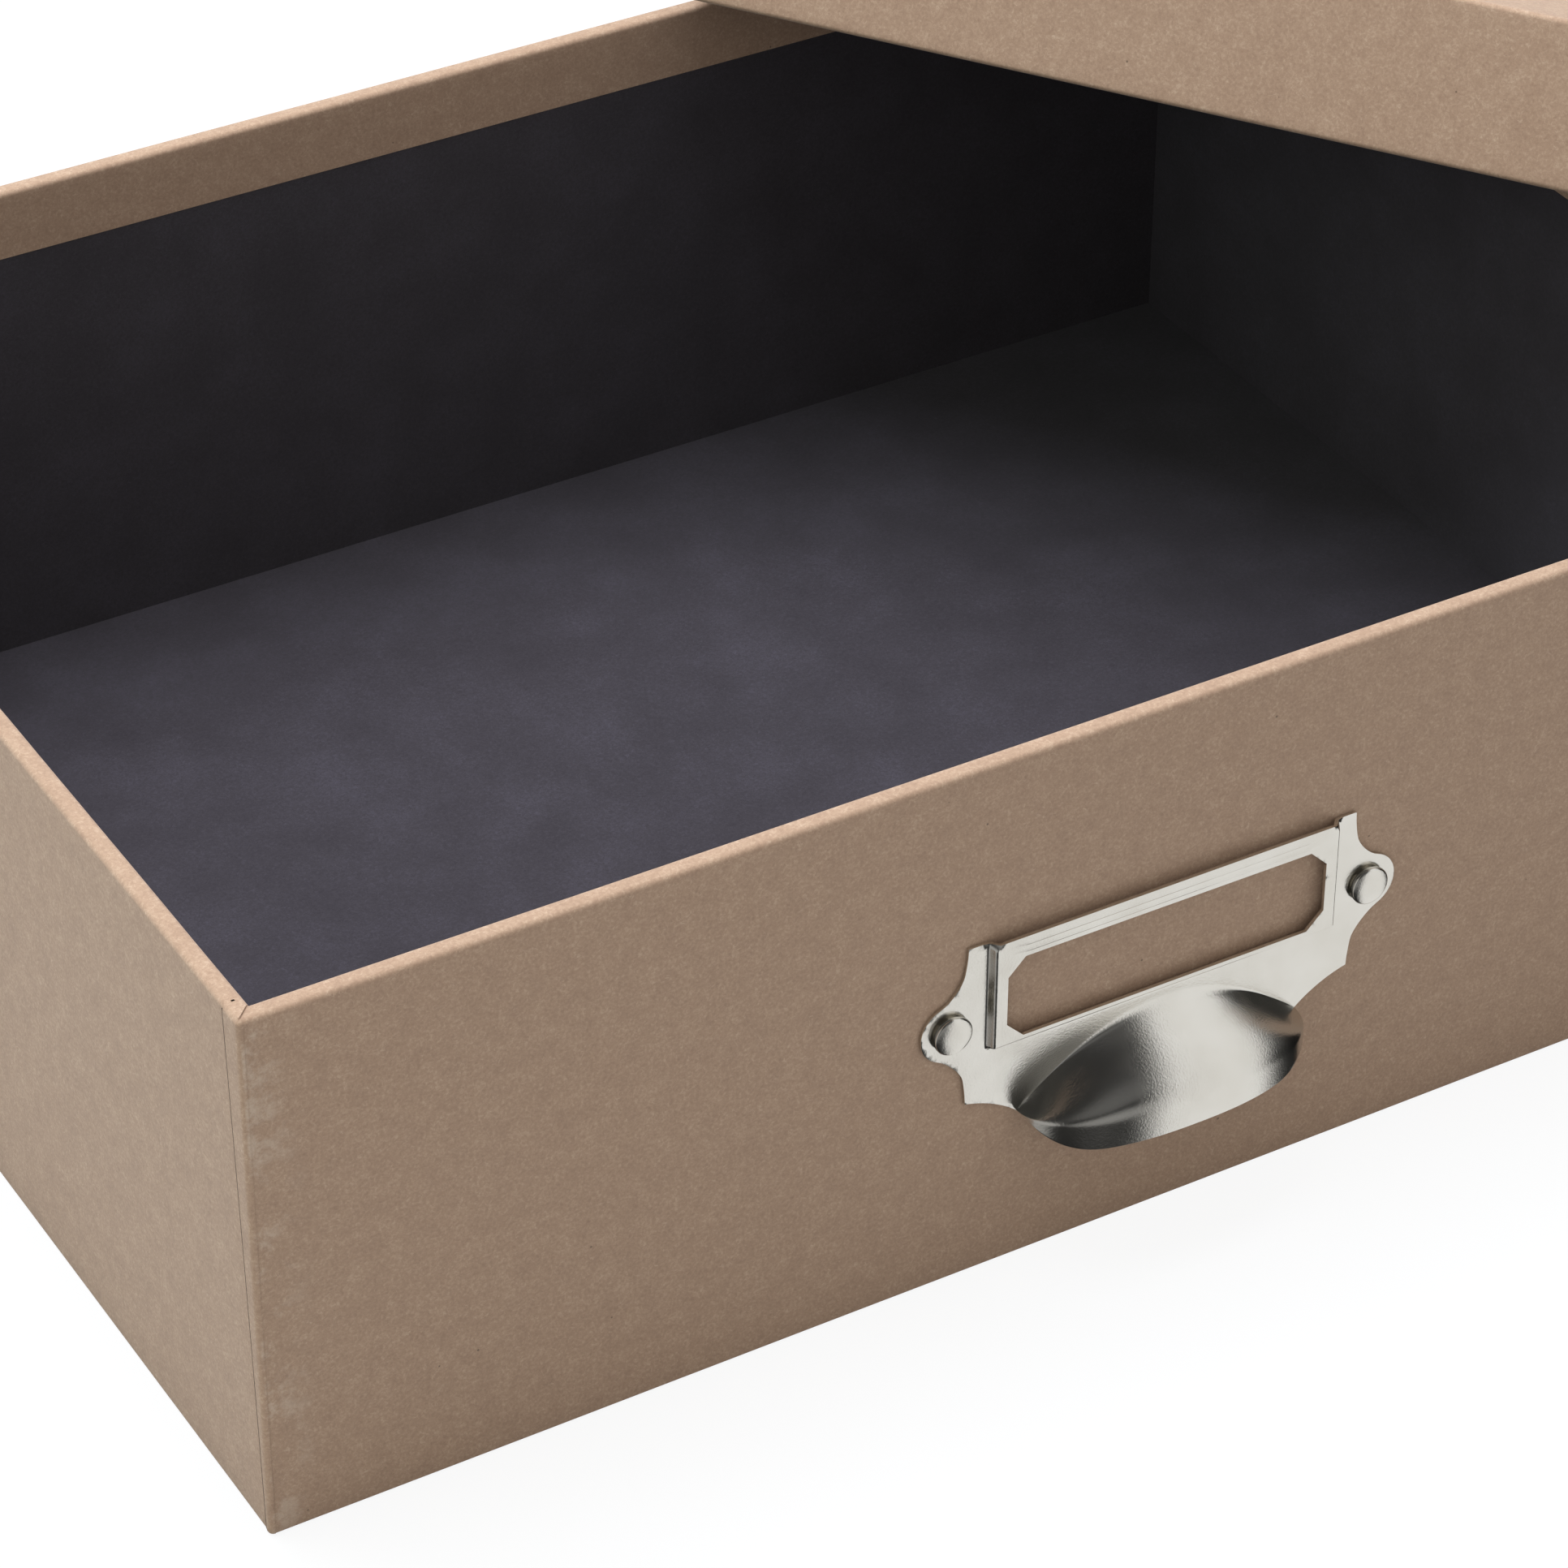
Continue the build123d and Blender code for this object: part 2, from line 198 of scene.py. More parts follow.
@dataclass(frozen=True)
class KraftPaper(Finish):
    """Unbleached kraft paper, machine glazed, pasted over board.

    The eye gets a soft brown cloudiness from the way the fibres settled, short pale hairs,
    a few dark flecks of bark, and hardly any shine. A painted highlight can be laid in pale
    patches along the front's upright corners. Sizes are in millimetres, but for
    hair_width and fleck_size, which are shares of the pattern's own size.
    """

    name: str = "kraft cover paper"
    bump: float = 0.35
    relief: float = 0.05
    base: str = "#AE8F75"
    deep: str = "#9C7D65"
    pale: str = "#C5AA90"
    fleck: str = "#5A4636"
    painted_highlight: str = "#CDB8A3"
    cloud: float = 3.5
    grain: float = 0.55
    grain_share: float = 0.74
    hair: float = 2.6
    hair_width: float = 0.014
    hair_strength: float = 0.7
    patches: Flat = (0.50, 0.62)
    fleck_spacing: float = 3.2
    fleck_from: float = 0.72
    fleck_size: float = 0.085
    fleck_edge: float = 0.03
    fleck_strength: float = 0.75
    roughness: float = 0.78
    # A painted highlight in pale patches along the front's upright corners, placed in millimetres.
    corner_highlight: bool = False
    corner_highlight_x: Flat = (144.0, 152.0)
    corner_highlight_y: Flat = (-115.3, -115.45)
    corner_highlight_patch: float = 6.0
    corner_highlight_strength: float = 0.62

    def surface(self, tree: Tree, place: Socket) -> tuple[Node, dict[str, object]]:
        """Draws the paper.

        Args:
            tree: The material's tree.
            place: The surface's own coordinates.

        Returns:
            The height of its grain, and the shader's inputs.
        """
        cloud = add_node(tree, "ShaderNodeTexNoise", {
            "Vector": place, "Scale": per_metre(self.cloud), "Detail": 4.0, "Roughness": 0.6})
        grain = add_node(tree, "ShaderNodeTexNoise", {
            "Vector": place, "Scale": per_metre(self.grain), "Detail": 5.0, "Roughness": 0.75,
            "Distortion": 0.6})
        # Cloudiness and grain are joined into one tone from deep to base to pale.
        tone = add_node(tree, "ShaderNodeMix", {
            "Factor": self.grain_share, "A": cloud, "B": grain}, data_type="FLOAT")
        ramp = add_node(tree, "ShaderNodeValToRGB", {"Fac": tone}, (
            (0.34, self.deep), (0.70, self.pale), (0.52, self.base)))
        pale = add_node(tree, "ShaderNodeMix", {
            "Factor": self._hairs(tree, place), "A": ramp,
            "B": linear(self.pale)}, data_type="RGBA")
        flecked = add_node(tree, "ShaderNodeMix", {
            "Factor": self._flecks(tree, place), "A": pale,
            "B": linear(self.fleck)}, data_type="RGBA")
        # Along the front's upright corners a painted highlight is laid over the paper.
        colour = self._corner_highlight(tree, place, flecked) if self.corner_highlight else flecked
        rough = add_node(tree, "ShaderNodeMapRange", {
            "Value": cloud, "From Min": 0.3, "From Max": 0.7,
            "To Min": self.roughness - 0.06, "To Max": self.roughness + 0.08})
        return grain, {
            "Base Color": colour, "Roughness": rough, "IOR": 1.5,
            "Specular IOR Level": 0.5, "Sheen Weight": 0.15, "Sheen Roughness": 0.6}

    def _hairs(self, tree: Tree, place: Socket) -> Node:
        """Draws the short pale fibres.

        A hair is where a slow noise crosses its middle value, kept only in short stretches.

        Args:
            tree: The material's tree.
            place: The surface's own coordinates.

        Returns:
            A mask of the hairs.
        """
        line = add_node(tree, "ShaderNodeTexNoise", {
            "Vector": place, "Scale": per_metre(self.hair), "Detail": 2.0, "Roughness": 0.55,
            "Distortion": 1.4})
        off = add_node(tree, "ShaderNodeMath", {0: line, 1: 0.5}, operation="SUBTRACT")
        near = add_node(tree, "ShaderNodeMath", {0: off}, operation="ABSOLUTE")
        thin = add_node(tree, "ShaderNodeMapRange", {
            "Value": near, "From Max": self.hair_width, "To Min": 1.0, "To Max": 0.0})
        stretch = add_node(tree, "ShaderNodeTexNoise", {
            "Vector": place, "Scale": per_metre(self.hair * 0.5), "Detail": 1.0})
        kept = add_node(tree, "ShaderNodeMapRange", {
            "Value": stretch, "From Min": self.patches[0],
            "From Max": self.patches[1], "To Max": self.hair_strength})
        return add_node(tree, "ShaderNodeMath", {0: thin, 1: kept}, operation="MULTIPLY")

    def _flecks(self, tree: Tree, place: Socket) -> Node:
        """Draws the dark flecks of bark, up to half a millimetre across.

        Args:
            tree: The material's tree.
            place: The surface's own coordinates.

        Returns:
            A mask of the flecks.
        """
        cells = add_node(tree, "ShaderNodeTexVoronoi", {
            "Vector": place, "Scale": per_metre(self.fleck_spacing), "Randomness": 1.0})
        size = add_node(tree, "ShaderNodeSeparateColor", {"Color": cells.outputs["Color"]})
        # Most cells hold no fleck, and the others hold one of its own size.
        reach = add_node(tree, "ShaderNodeMapRange", {
            "Value": size, "From Min": self.fleck_from, "To Max": self.fleck_size})
        inside = add_node(tree, "ShaderNodeMath", {0: reach, 1: cells}, operation="SUBTRACT")
        return add_node(tree, "ShaderNodeMapRange", {
            "Value": inside, "From Max": self.fleck_edge, "To Max": self.fleck_strength})

    def _corner_highlight(self, tree: Tree, place: Socket, colour: Node) -> Node:
        """Paints a highlight in pale patches along the front's upright corners.

        Args:
            tree: The material's tree.
            place: The surface's own coordinates.
            colour: The paper's colour so far.

        Returns:
            The colour with the painted highlight in patches.
        """
        parts = add_node(tree, "ShaderNodeSeparateXYZ", {"Vector": place})
        across = add_node(tree, "ShaderNodeMath", {0: parts.outputs["X"]}, operation="ABSOLUTE")
        near_end = add_node(tree, "ShaderNodeMapRange", {
            "Value": across, "From Min": self.corner_highlight_x[0] * MM, "From Max": self.corner_highlight_x[1] * MM})
        front = add_node(tree, "ShaderNodeMapRange", {
            "Value": parts.outputs["Y"], "From Min": self.corner_highlight_y[0] * MM,
            "From Max": self.corner_highlight_y[1] * MM})
        patch = add_node(tree, "ShaderNodeTexNoise", {
            "Vector": place, "Scale": per_metre(self.corner_highlight_patch), "Detail": 6.0,
            "Roughness": 0.72})
        # The painted highlight comes and goes in patches.
        painted_highlight = add_node(tree, "ShaderNodeMapRange", {
            "Value": patch, "From Min": self.patches[0],
            "From Max": self.patches[1], "To Max": self.corner_highlight_strength})
        there = add_node(tree, "ShaderNodeMath", {0: near_end, 1: front}, operation="MULTIPLY")
        mask = add_node(tree, "ShaderNodeMath", {0: there, 1: painted_highlight}, operation="MULTIPLY")
        return add_node(tree, "ShaderNodeMix", {
            "Factor": mask, "A": colour, "B": linear(self.painted_highlight)}, data_type="RGBA")


@dataclass(frozen=True)
class LiningPaper(Finish):
    """Dyed charcoal lining paper, uncoated.

    The eye gets a flat blue-grey with a faint felt of lighter fibres and a dull, dry surface.
    """

    name: str = "charcoal lining paper"
    bump: float = 0.3
    relief: float = 0.04
    deep: str = "#332E32"
    base: str = "#3B363A"
    pale: str = "#48434A"
    cloud: float = 14.0
    felt: float = 0.6
    felt_share: float = 0.7
    roughness: float = 0.86

    def surface(self, tree: Tree, place: Socket) -> tuple[Node, dict[str, object]]:
        """Draws the lining.

        Args:
            tree: The material's tree.
            place: The surface's own coordinates.

        Returns:
            The height of its felt, and the shader's inputs.
        """
        cloud = add_node(tree, "ShaderNodeTexNoise", {
            "Vector": place, "Scale": per_metre(self.cloud), "Detail": 3.0})
        felt = add_node(tree, "ShaderNodeTexNoise", {
            "Vector": place, "Scale": per_metre(self.felt), "Detail": 5.0, "Roughness": 0.8,
            "Distortion": 1.0})
        tone = add_node(tree, "ShaderNodeMix", {
            "Factor": self.felt_share, "A": cloud, "B": felt}, data_type="FLOAT")
        ramp = add_node(tree, "ShaderNodeValToRGB", {"Fac": tone}, (
            (0.36, self.deep), (0.68, self.pale), (0.5, self.base)))
        return felt, {
            "Base Color": ramp, "Roughness": self.roughness, "IOR": 1.5,
            "Specular IOR Level": 0.5, "Sheen Weight": 0.15, "Sheen Roughness": 0.5}


@dataclass(frozen=True)
class Board(Finish):
    """Recycled greyboard or gummed paper, pressed in sheets.

    The eye gets a speckled, matt grey or tan with a coarse cut grain.
    """

    deep: str = "#6E6C68"
    pale: str = "#96938C"
    speckle: float = 0.8
    roughness: float = 0.9

    def surface(self, tree: Tree, place: Socket) -> tuple[Node, dict[str, object]]:
        """Draws the board.

        Args:
            tree: The material's tree.
            place: The surface's own coordinates.

        Returns:
            The height of its speckle, and the shader's inputs.
        """
        speckle = add_node(tree, "ShaderNodeTexNoise", {
            "Vector": place, "Scale": per_metre(self.speckle), "Detail": 6.0, "Roughness": 0.8})
        ramp = add_node(tree, "ShaderNodeValToRGB", {"Fac": speckle}, (
            (0.35, self.deep), (0.65, self.pale)))
        return speckle, {"Base Color": ramp, "Roughness": self.roughness}


@dataclass(frozen=True)
class SatinNickel(Finish):
    """Nickel plate over pressed steel, left satin.

    The eye gets broad soft reflections with a fine sandy edge, from the grain that the plating
    carries over from the rolled sheet.
    """

    name: str = "satin nickel plate"
    bump: float = 0.5
    relief: float = 0.045
    base: str = "#DAD8D2"
    warm: str = "#D3CFC6"
    grain: float = 0.35
    haze: float = 7.0
    roughness: float = 0.18

    def surface(self, tree: Tree, place: Socket) -> tuple[Node, dict[str, object]]:
        """Draws the plating.

        Args:
            tree: The material's tree.
            place: The surface's own coordinates.

        Returns:
            The height of its grain, and the shader's inputs.
        """
        # The rolled grain is about 0.05 mm, drawn seven times coarser so that it shows.
        grain = add_node(tree, "ShaderNodeTexNoise", {
            "Vector": place, "Scale": per_metre(self.grain), "Detail": 3.0, "Roughness": 0.6})
        haze = add_node(tree, "ShaderNodeTexNoise", {
            "Vector": place, "Scale": per_metre(self.haze), "Detail": 3.0})
        tint = add_node(tree, "ShaderNodeMix", {
            "Factor": haze, "A": linear(self.base), "B": linear(self.warm)}, data_type="RGBA")
        rough = add_node(tree, "ShaderNodeMapRange", {
            "Value": haze, "From Min": 0.3, "From Max": 0.7,
            "To Min": self.roughness - 0.03, "To Max": self.roughness + 0.04})
        return grain, {"Base Color": tint, "Metallic": 1.0, "Roughness": rough}


@dataclass
class Finishes:
    """Every finish of the file box, made once."""

    kraft: Material = field(default_factory=KraftPaper().material)
    # The box's kraft carries a painted highlight along the front's upright corners.
    kraft_with_painted_highlight: Material = field(default_factory=KraftPaper(
        "kraft cover paper, painted corner highlight", corner_highlight=True).material)
    # A lap's edge casts a thin shadow on the cover; this dark board-grained finish paints that
    # shadow.
    lap_edge_shadow: Material = field(default_factory=Board(
        "painted shadow by a lap's edge", deep="#33271E", pale="#4A3A2E", speckle=0.4).material)
    lining: Material = field(default_factory=LiningPaper().material)
    greyboard: Material = field(default_factory=Board("greyboard").material)
    tape: Material = field(default_factory=Board(
        "gummed stay tape", deep="#A08A70", pale="#B9A58A", speckle=0.5,
        roughness=0.7).material)
    nickel: Material = field(default_factory=SatinNickel().material)

    def dress(self, piece: Piece, slot: Slot) -> None:
        """Puts a slot's finish on a whole piece.

        Args:
            piece: The piece to dress.
            slot: Its finish slot.
        """
        chosen = {Slot.KRAFT: self.kraft, Slot.CHARCOAL: self.lining,
                  Slot.GREYBOARD: self.greyboard, Slot.TAPE: self.tape,
                  Slot.NICKEL: self.nickel}[slot]
        piece.data.materials.clear()
        piece.data.materials.append(chosen)


@dataclass
class SubAssembly:
    """A part of the file box that dresses its own CAD nodes and adds pieces to them."""

    finishes: Finishes
    slots: ClassVar[Slots] = {}

    def pieces(self) -> list[Piece]:
        """The pieces that it adds."""
        raise NotImplementedError

    def build(self, nodes: dict[str, Piece]) -> list[Piece]:
        """Builds and dresses the sub-assembly.

        Args:
            nodes: The CAD nodes by name.

        Returns:
            The new pieces.
        """
        pieces = self.pieces()
        for slot, names in self.slots.items():
            for name in names:
                self.finishes.dress(nodes[name], slot)
        return pieces


# ---------------------------------------------------------------- mesh helpers


def mesh_piece(
    name: str,
    points: Iterable[Sequence[float]],
    faces: Iterable[Sequence[int]],
    place: Matrix | None = None,
    sharp: float = 35.0,
) -> Piece:
    """Makes a smooth-shaded piece from points in millimetres.

    Args:
        name: The piece's name.
        points: Its corners in millimetres.
        faces: Its faces by corner number.
        place: Where it stands, in metres.
        sharp: The angle in degrees over which an edge stays sharp.

    Returns:
        The new object, linked to the scene.
    """
    mesh = bpy.data.meshes.new(name)
    mesh.from_pydata([tuple(c * MM for c in p) for p in points], [], [tuple(f) for f in faces])
    build = bmesh.new()
    build.from_mesh(mesh)
    bmesh.ops.remove_doubles(build, verts=build.verts, dist=0.002 * MM)
    bmesh.ops.dissolve_degenerate(build, edges=build.edges, dist=0.001 * MM)
    build.to_mesh(mesh)
    build.free()
    if place is not None:
        mesh.transform(place)
    mesh.polygons.foreach_set("use_smooth", [True] * len(mesh.polygons))
    mesh.set_sharp_from_angle(angle=math.radians(sharp))
    mesh.update()
    piece = bpy.data.objects.new(name, mesh)
    bpy.context.scene.collection.objects.link(piece)
    return piece


def sheet_faces(rows: int, columns: int, closed: bool) -> list[Face]:
    """Quads over a net of points that was listed row by row.

    Args:
        rows: How many rows there are.
        columns: How many points a row has.
        closed: Whether each row's end joins its start.

    Returns:
        The quads by point number.
    """
    reach = columns if closed else columns - 1
    return [
        (r * columns + c, r * columns + (c + 1) % columns,
         (r + 1) * columns + (c + 1) % columns, (r + 1) * columns + c)
        for r in range(rows - 1)
        for c in range(reach)
    ]


def smoothstep(low: float, high: float, value: float) -> float:
    """Zero below low, one above high, and a soft S between."""
    share = min(1.0, max(0.0, (value - low) / (high - low)))
    return share * share * (3 - 2 * share)


def bezier(corners: Sequence[Sequence[float]], share: float) -> Flat:
    """A point on a plane cubic.

    Args:
        corners: Its four corners.
        share: How far along it.

    Returns:
        The point.
    """
    rest = 1 - share
    weights = (rest**3, 3 * rest**2 * share, 3 * rest * share**2, share**3)
    return (sum(w * p[0] for w, p in zip(weights, corners)),
            sum(w * p[1] for w, p in zip(weights, corners)))


def arc(centre: Flat, radius: float, begin: float, end: float, steps: int) -> list[Flat]:
    """Points along a circle's arc, both ends included.

    Args:
        centre: The circle's middle.
        radius: Its radius.
        begin: First angle in degrees.
        end: Last angle.
        steps: How many stretches.

    Returns:
        The points.
    """
    angles = [math.radians(begin + (end - begin) * i / steps) for i in range(steps + 1)]
    return [(centre[0] + radius * math.cos(a), centre[1] + radius * math.sin(a)) for a in angles]


def hermite(
    start: Sequence[float],
    leave: Sequence[float],
    end: Sequence[float],
    arrive: Sequence[float],
    steps: int,
) -> list[Flat]:
    """Points along a plane curve between two points with given directions.

    Args:
        start: First point.
        leave: Direction there, with its strength.
        end: Last point.
        arrive: Direction there, with its strength.
        steps: How many points, the last one left out.

    Returns:
        The points, from the first up to but without the last.
    """
    corners = (start, (start[0] + leave[0] / 3, start[1] + leave[1] / 3),
               (end[0] - arrive[0] / 3, end[1] - arrive[1] / 3), end)
    return [bezier(corners, i / steps) for i in range(steps)]


@dataclass(frozen=True)
class RimPath:
    """A rectangle with small round corners, walked anticlockwise from above."""

    length: float
    depth: float
    radius: float = 0.9
    least_radius: float = 0.04
    corner_steps: int = 6
    side_steps: int = 40

    def at(self, inset: float) -> list[Flat]:
        """The walk at a distance in from the outside.

        Args:
            inset: The distance in millimetres.

        Returns:
            As many points at every inset.
        """
        half_x = self.length / 2 - inset
        half_y = self.depth / 2 - inset
        turn = max(self.radius - inset, self.least_radius)
        arcs = []
        for quarter, (sx, sy) in enumerate(((1, -1), (1, 1), (-1, 1), (-1, -1))):
            centre = (sx * (half_x - turn), sy * (half_y - turn))
            begin = -90 + 90 * quarter
            arcs.append(arc(centre, turn, begin, begin + 90, self.corner_steps))
        walk = []
        for bend, following in zip(arcs, [*arcs[1:], arcs[0]]):
            walk.extend(bend)
            (ax, ay), (bx, by) = bend[-1], following[0]
            for step in range(1, self.side_steps):
                share = step / self.side_steps
                walk.append((ax + (bx - ax) * share, ay + (by - ay) * share))
        return walk


def wavy_sleeve(
    path: RimPath,
    profile: Sequence[Flat],
    slack: float,
    seed: float,
) -> list[Point]:
    """Sweeps a wall profile round a path, with the slight waviness of pasted paper.

    Args:
        path: The walk round the walls.
        profile: Pairs of inset and height, from the outside's foot to the inside.
        slack: How far in the paper may lie, in millimetres.
        seed: Where in the noise this sleeve starts.

    Returns:
        The points, row by row.
    """
    # A slow wave is some 50 mm long and a ripple 9 mm; both are a little shorter upward.
    slow, slow_up, quick, quick_up = 0.021, 0.03, 0.11, 0.12
    wall_reach = 4
    points = []
    for inset, height in profile:
        for x, y in path.at(inset):
            wave = noise.noise(Vector((x * slow + seed, y * slow, height * slow_up)))
            ripple = noise.noise(Vector((x * quick + seed, y * quick + 7, height * quick_up)))
            sink = slack * (0.5 + 0.5 * max(-1.0, min(1.0, wave * 1.4 + ripple * 0.35)))
            points.append((x - math.copysign(sink, x) * (abs(x) > path.length / 2 - wall_reach),
                           y - math.copysign(sink, y) * (abs(y) > path.depth / 2 - wall_reach),
                           height))
    return points


def round_over(centre: Flat, radius: float, begin: float, end: float, steps: int) -> list[Flat]:
    """Profile points round an edge.

    Args:
        centre: Inset and height of the round's centre.
        radius: Its radius.
        begin: First angle in degrees, where 0 points outward and 90 up.
        end: Last angle.
        steps: How many stretches.

    Returns:
        Pairs of inset and height.
    """
    return [(-x, y) for x, y in arc((-centre[0], centre[1]), radius, begin, end, steps)]


# ---------------------------------------------------------------- the box


@dataclass
class BoxTray(SubAssembly):
    """The open box: kraft cover with its laps, charcoal lining, boards and stays."""

    slots: ClassVar[Slots] = {
        Slot.GREYBOARD: ("base_board", "front_board", "back_board", "left_board",
                         "right_board"),
        Slot.TAPE: ("corner_stays",),
        Slot.KRAFT: ("base_cover",),
        Slot.CHARCOAL: ("wall_lining", "floor_lining"),
    }
    length: float = 307.0
    depth: float = 231.0
    height: float = 95.0
    wall: float = 3.3
    round_edge: float = 0.9
    turn_in: float = 12.5
    end_turn_in: float = 7.0
    lap_step: float = 0.12
    lap_top: float = 4.8
    lap_foot: float = 1.2
    lap_curve: float = 1.15
    lap_wander: float = 0.08
    lap_lift: float = 0.05
    # How wide the strip beyond a lap's edge is that carries painted shadow.
    lap_shadow_width: float = 0.42
    ridge: Flat = (0.26, 1.3)
    crease: Flat = (0.12, 0.9)

    def profile(self) -> list[Flat]:
        """The cover's section: foot, outside, rim and turn-in.

        Returns:
            Pairs of inset and height.
        """
        edge = self.round_edge
        foot = [(1.35, 0.12), (0.7, 0.12), *round_over((0.5, 0.62), 0.5, -80, 0, 4)]
        wall = [(0.0, z) for z in (4, 10, 20, 32, 44, 56, 68, 78, 86, 91, 93)]
        rim = round_over((edge, self.height - edge), edge, 0, 82, 5)
        top = [(1.35, self.height), (1.95, self.height)]
        inner = round_over((self.wall - edge, self.height - edge), edge, 98, 180, 5)
        inside = [(self.wall, z) for z in (93, 90, 86, self.height - self.turn_in)]
        return foot + wall + rim + top + inner + inside

    def end_turn(self, point: Point) -> Point:
        """Shortens the turn-in on the two end walls.

        Args:
            point: A point of the cover.

        Returns:
            The point, higher where it lies in the end walls' turn-in.
        """
        x, y, z = point
        kept = 2
        low, begin = self.height - self.turn_in, self.height - kept
        off_wall = abs(abs(x) - (self.length / 2 - self.wall)) > 0.5
        in_corner = abs(y) > self.depth / 2 - self.wall - 0.3
        if z >= begin or z < low - 1 or off_wall or in_corner:
            return point
        share = (z - low) / (begin - low)
        return x, y, self.height - self.end_turn_in + share * (self.end_turn_in - kept)

    def cover(self) -> Piece:
        """Builds the kraft cover.

        Returns:
            The piece, in place of the CAD cover.
        """
        path = RimPath(self.length - 2 * self.lap_step, self.depth, self.round_edge)
        profile = self.profile()
        points = [self.end_turn(p) for p in wavy_sleeve(path, profile, slack=0.10, seed=3.0)]
        faces = sheet_faces(len(profile), len(path.at(0)), True)
        piece = mesh_piece("cover_paper", points, faces)
        # The cover's kraft carries the painted highlight along the front's upright corners.
        piece.data.materials.append(self.finishes.kraft_with_painted_highlight)
        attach(piece, Body.BOX.value)
        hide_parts("cover_wrap")
        return piece

    def lap(self, side_x: int, side_y: int) -> Piece:
        """Builds one lap of the long panel's paper, pasted round a corner on to the end wall.

        A strip of painted shadow lies on the cover beyond the lap's edge.

        Args:
            side_x: Minus one for the left end wall, one for the right.
            side_y: Minus one for the front corner, one for the back.

        Returns:
            The piece.
        """
        half_x, half_y = self.length / 2, self.depth / 2
        profile = self.profile()[2:-3]
        points: list[Point] = []
        bends, runs = 6, 5
        for inset, height in profile:
            turn = max(self.round_edge - inset, RimPath.least_radius)
            centre = (half_x - inset - turn, half_y - inset - turn)
            share = height / self.height
            width = self.lap_foot + (self.lap_top - self.lap_foot) * share**self.lap_curve
            spot = Vector((height * 0.05, side_x * 3.0, side_y * 5.0))
            width += self.lap_wander * noise.noise(spot)
            lift = self.lap_lift if inset > self.round_edge / 2 else 0.0
            over = smoothstep(0.2, self.round_edge, inset)
            row = [(x, y, 0.0) for x, y in arc(centre, turn, 90, 0, bends)]
            last_y = row[-1][1]
            end_y = min(half_y - width, last_y - 0.02)
            for step in range(1, runs + 1):
                row.append((half_x - inset, last_y + (end_y - last_y) * step / runs, 0.0))
            # The last stretch steps down on to the cover beyond the lap's edge and carries painted
            # shadow.
            row.append((half_x - inset - self.lap_step + 0.01, end_y - 0.02, -lift))
            row.append((half_x - inset - self.lap_step + 0.015, end_y - self.lap_shadow_width, -lift))
            for number, (x, y, dz) in enumerate(row):
                # The paper is pleated where it turns over the rim: a small ridge by a crease,
                # each with its height in millimetres and its width in points of the row.
                pleat = self.ridge[0] * math.exp(-((number - bends) / self.ridge[1]) ** 2)
                pleat -= self.crease[0] * math.exp(
                    -((number - bends + 3) / self.crease[1]) ** 2)
                points.append((side_x * x, side_y * y, height + lift + dz + pleat * over))
        columns = bends + runs + 3
        faces = sheet_faces(len(profile), columns, False)
        if side_x * side_y < 0:
            faces = [tuple(reversed(f)) for f in faces]
        where = f"{'left' if side_x < 0 else 'right'}_{'front' if side_y < 0 else 'back'}"
        piece = mesh_piece(f"cover_lap_{where}", points, faces)
        # The lap's kraft carries the painted corner highlight, and the strip beyond its edge
        # carries painted shadow.
        piece.data.materials.append(self.finishes.kraft_with_painted_highlight)
        piece.data.materials.append(self.finishes.lap_edge_shadow)
        shadow_from = half_y - self.lap_top - 1
        for face in piece.data.polygons:
            spots = [piece.data.vertices[i].co / MM for i in face.vertices]
            low = [abs(abs(s.x) - (half_x - self.lap_step)) < 0.03 for s in spots]
            if sum(low) >= 3 and min(abs(s.y) for s in spots) > shadow_from:
                face.material_index = 1
        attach(piece, Body.BOX.value)
        return piece

    def pieces(self) -> list[Piece]:
        """The cover and its four laps."""
        return [self.cover(), *(self.lap(x, y) for x in (-1, 1) for y in (-1, 1))]


# ---------------------------------------------------------------- the pull


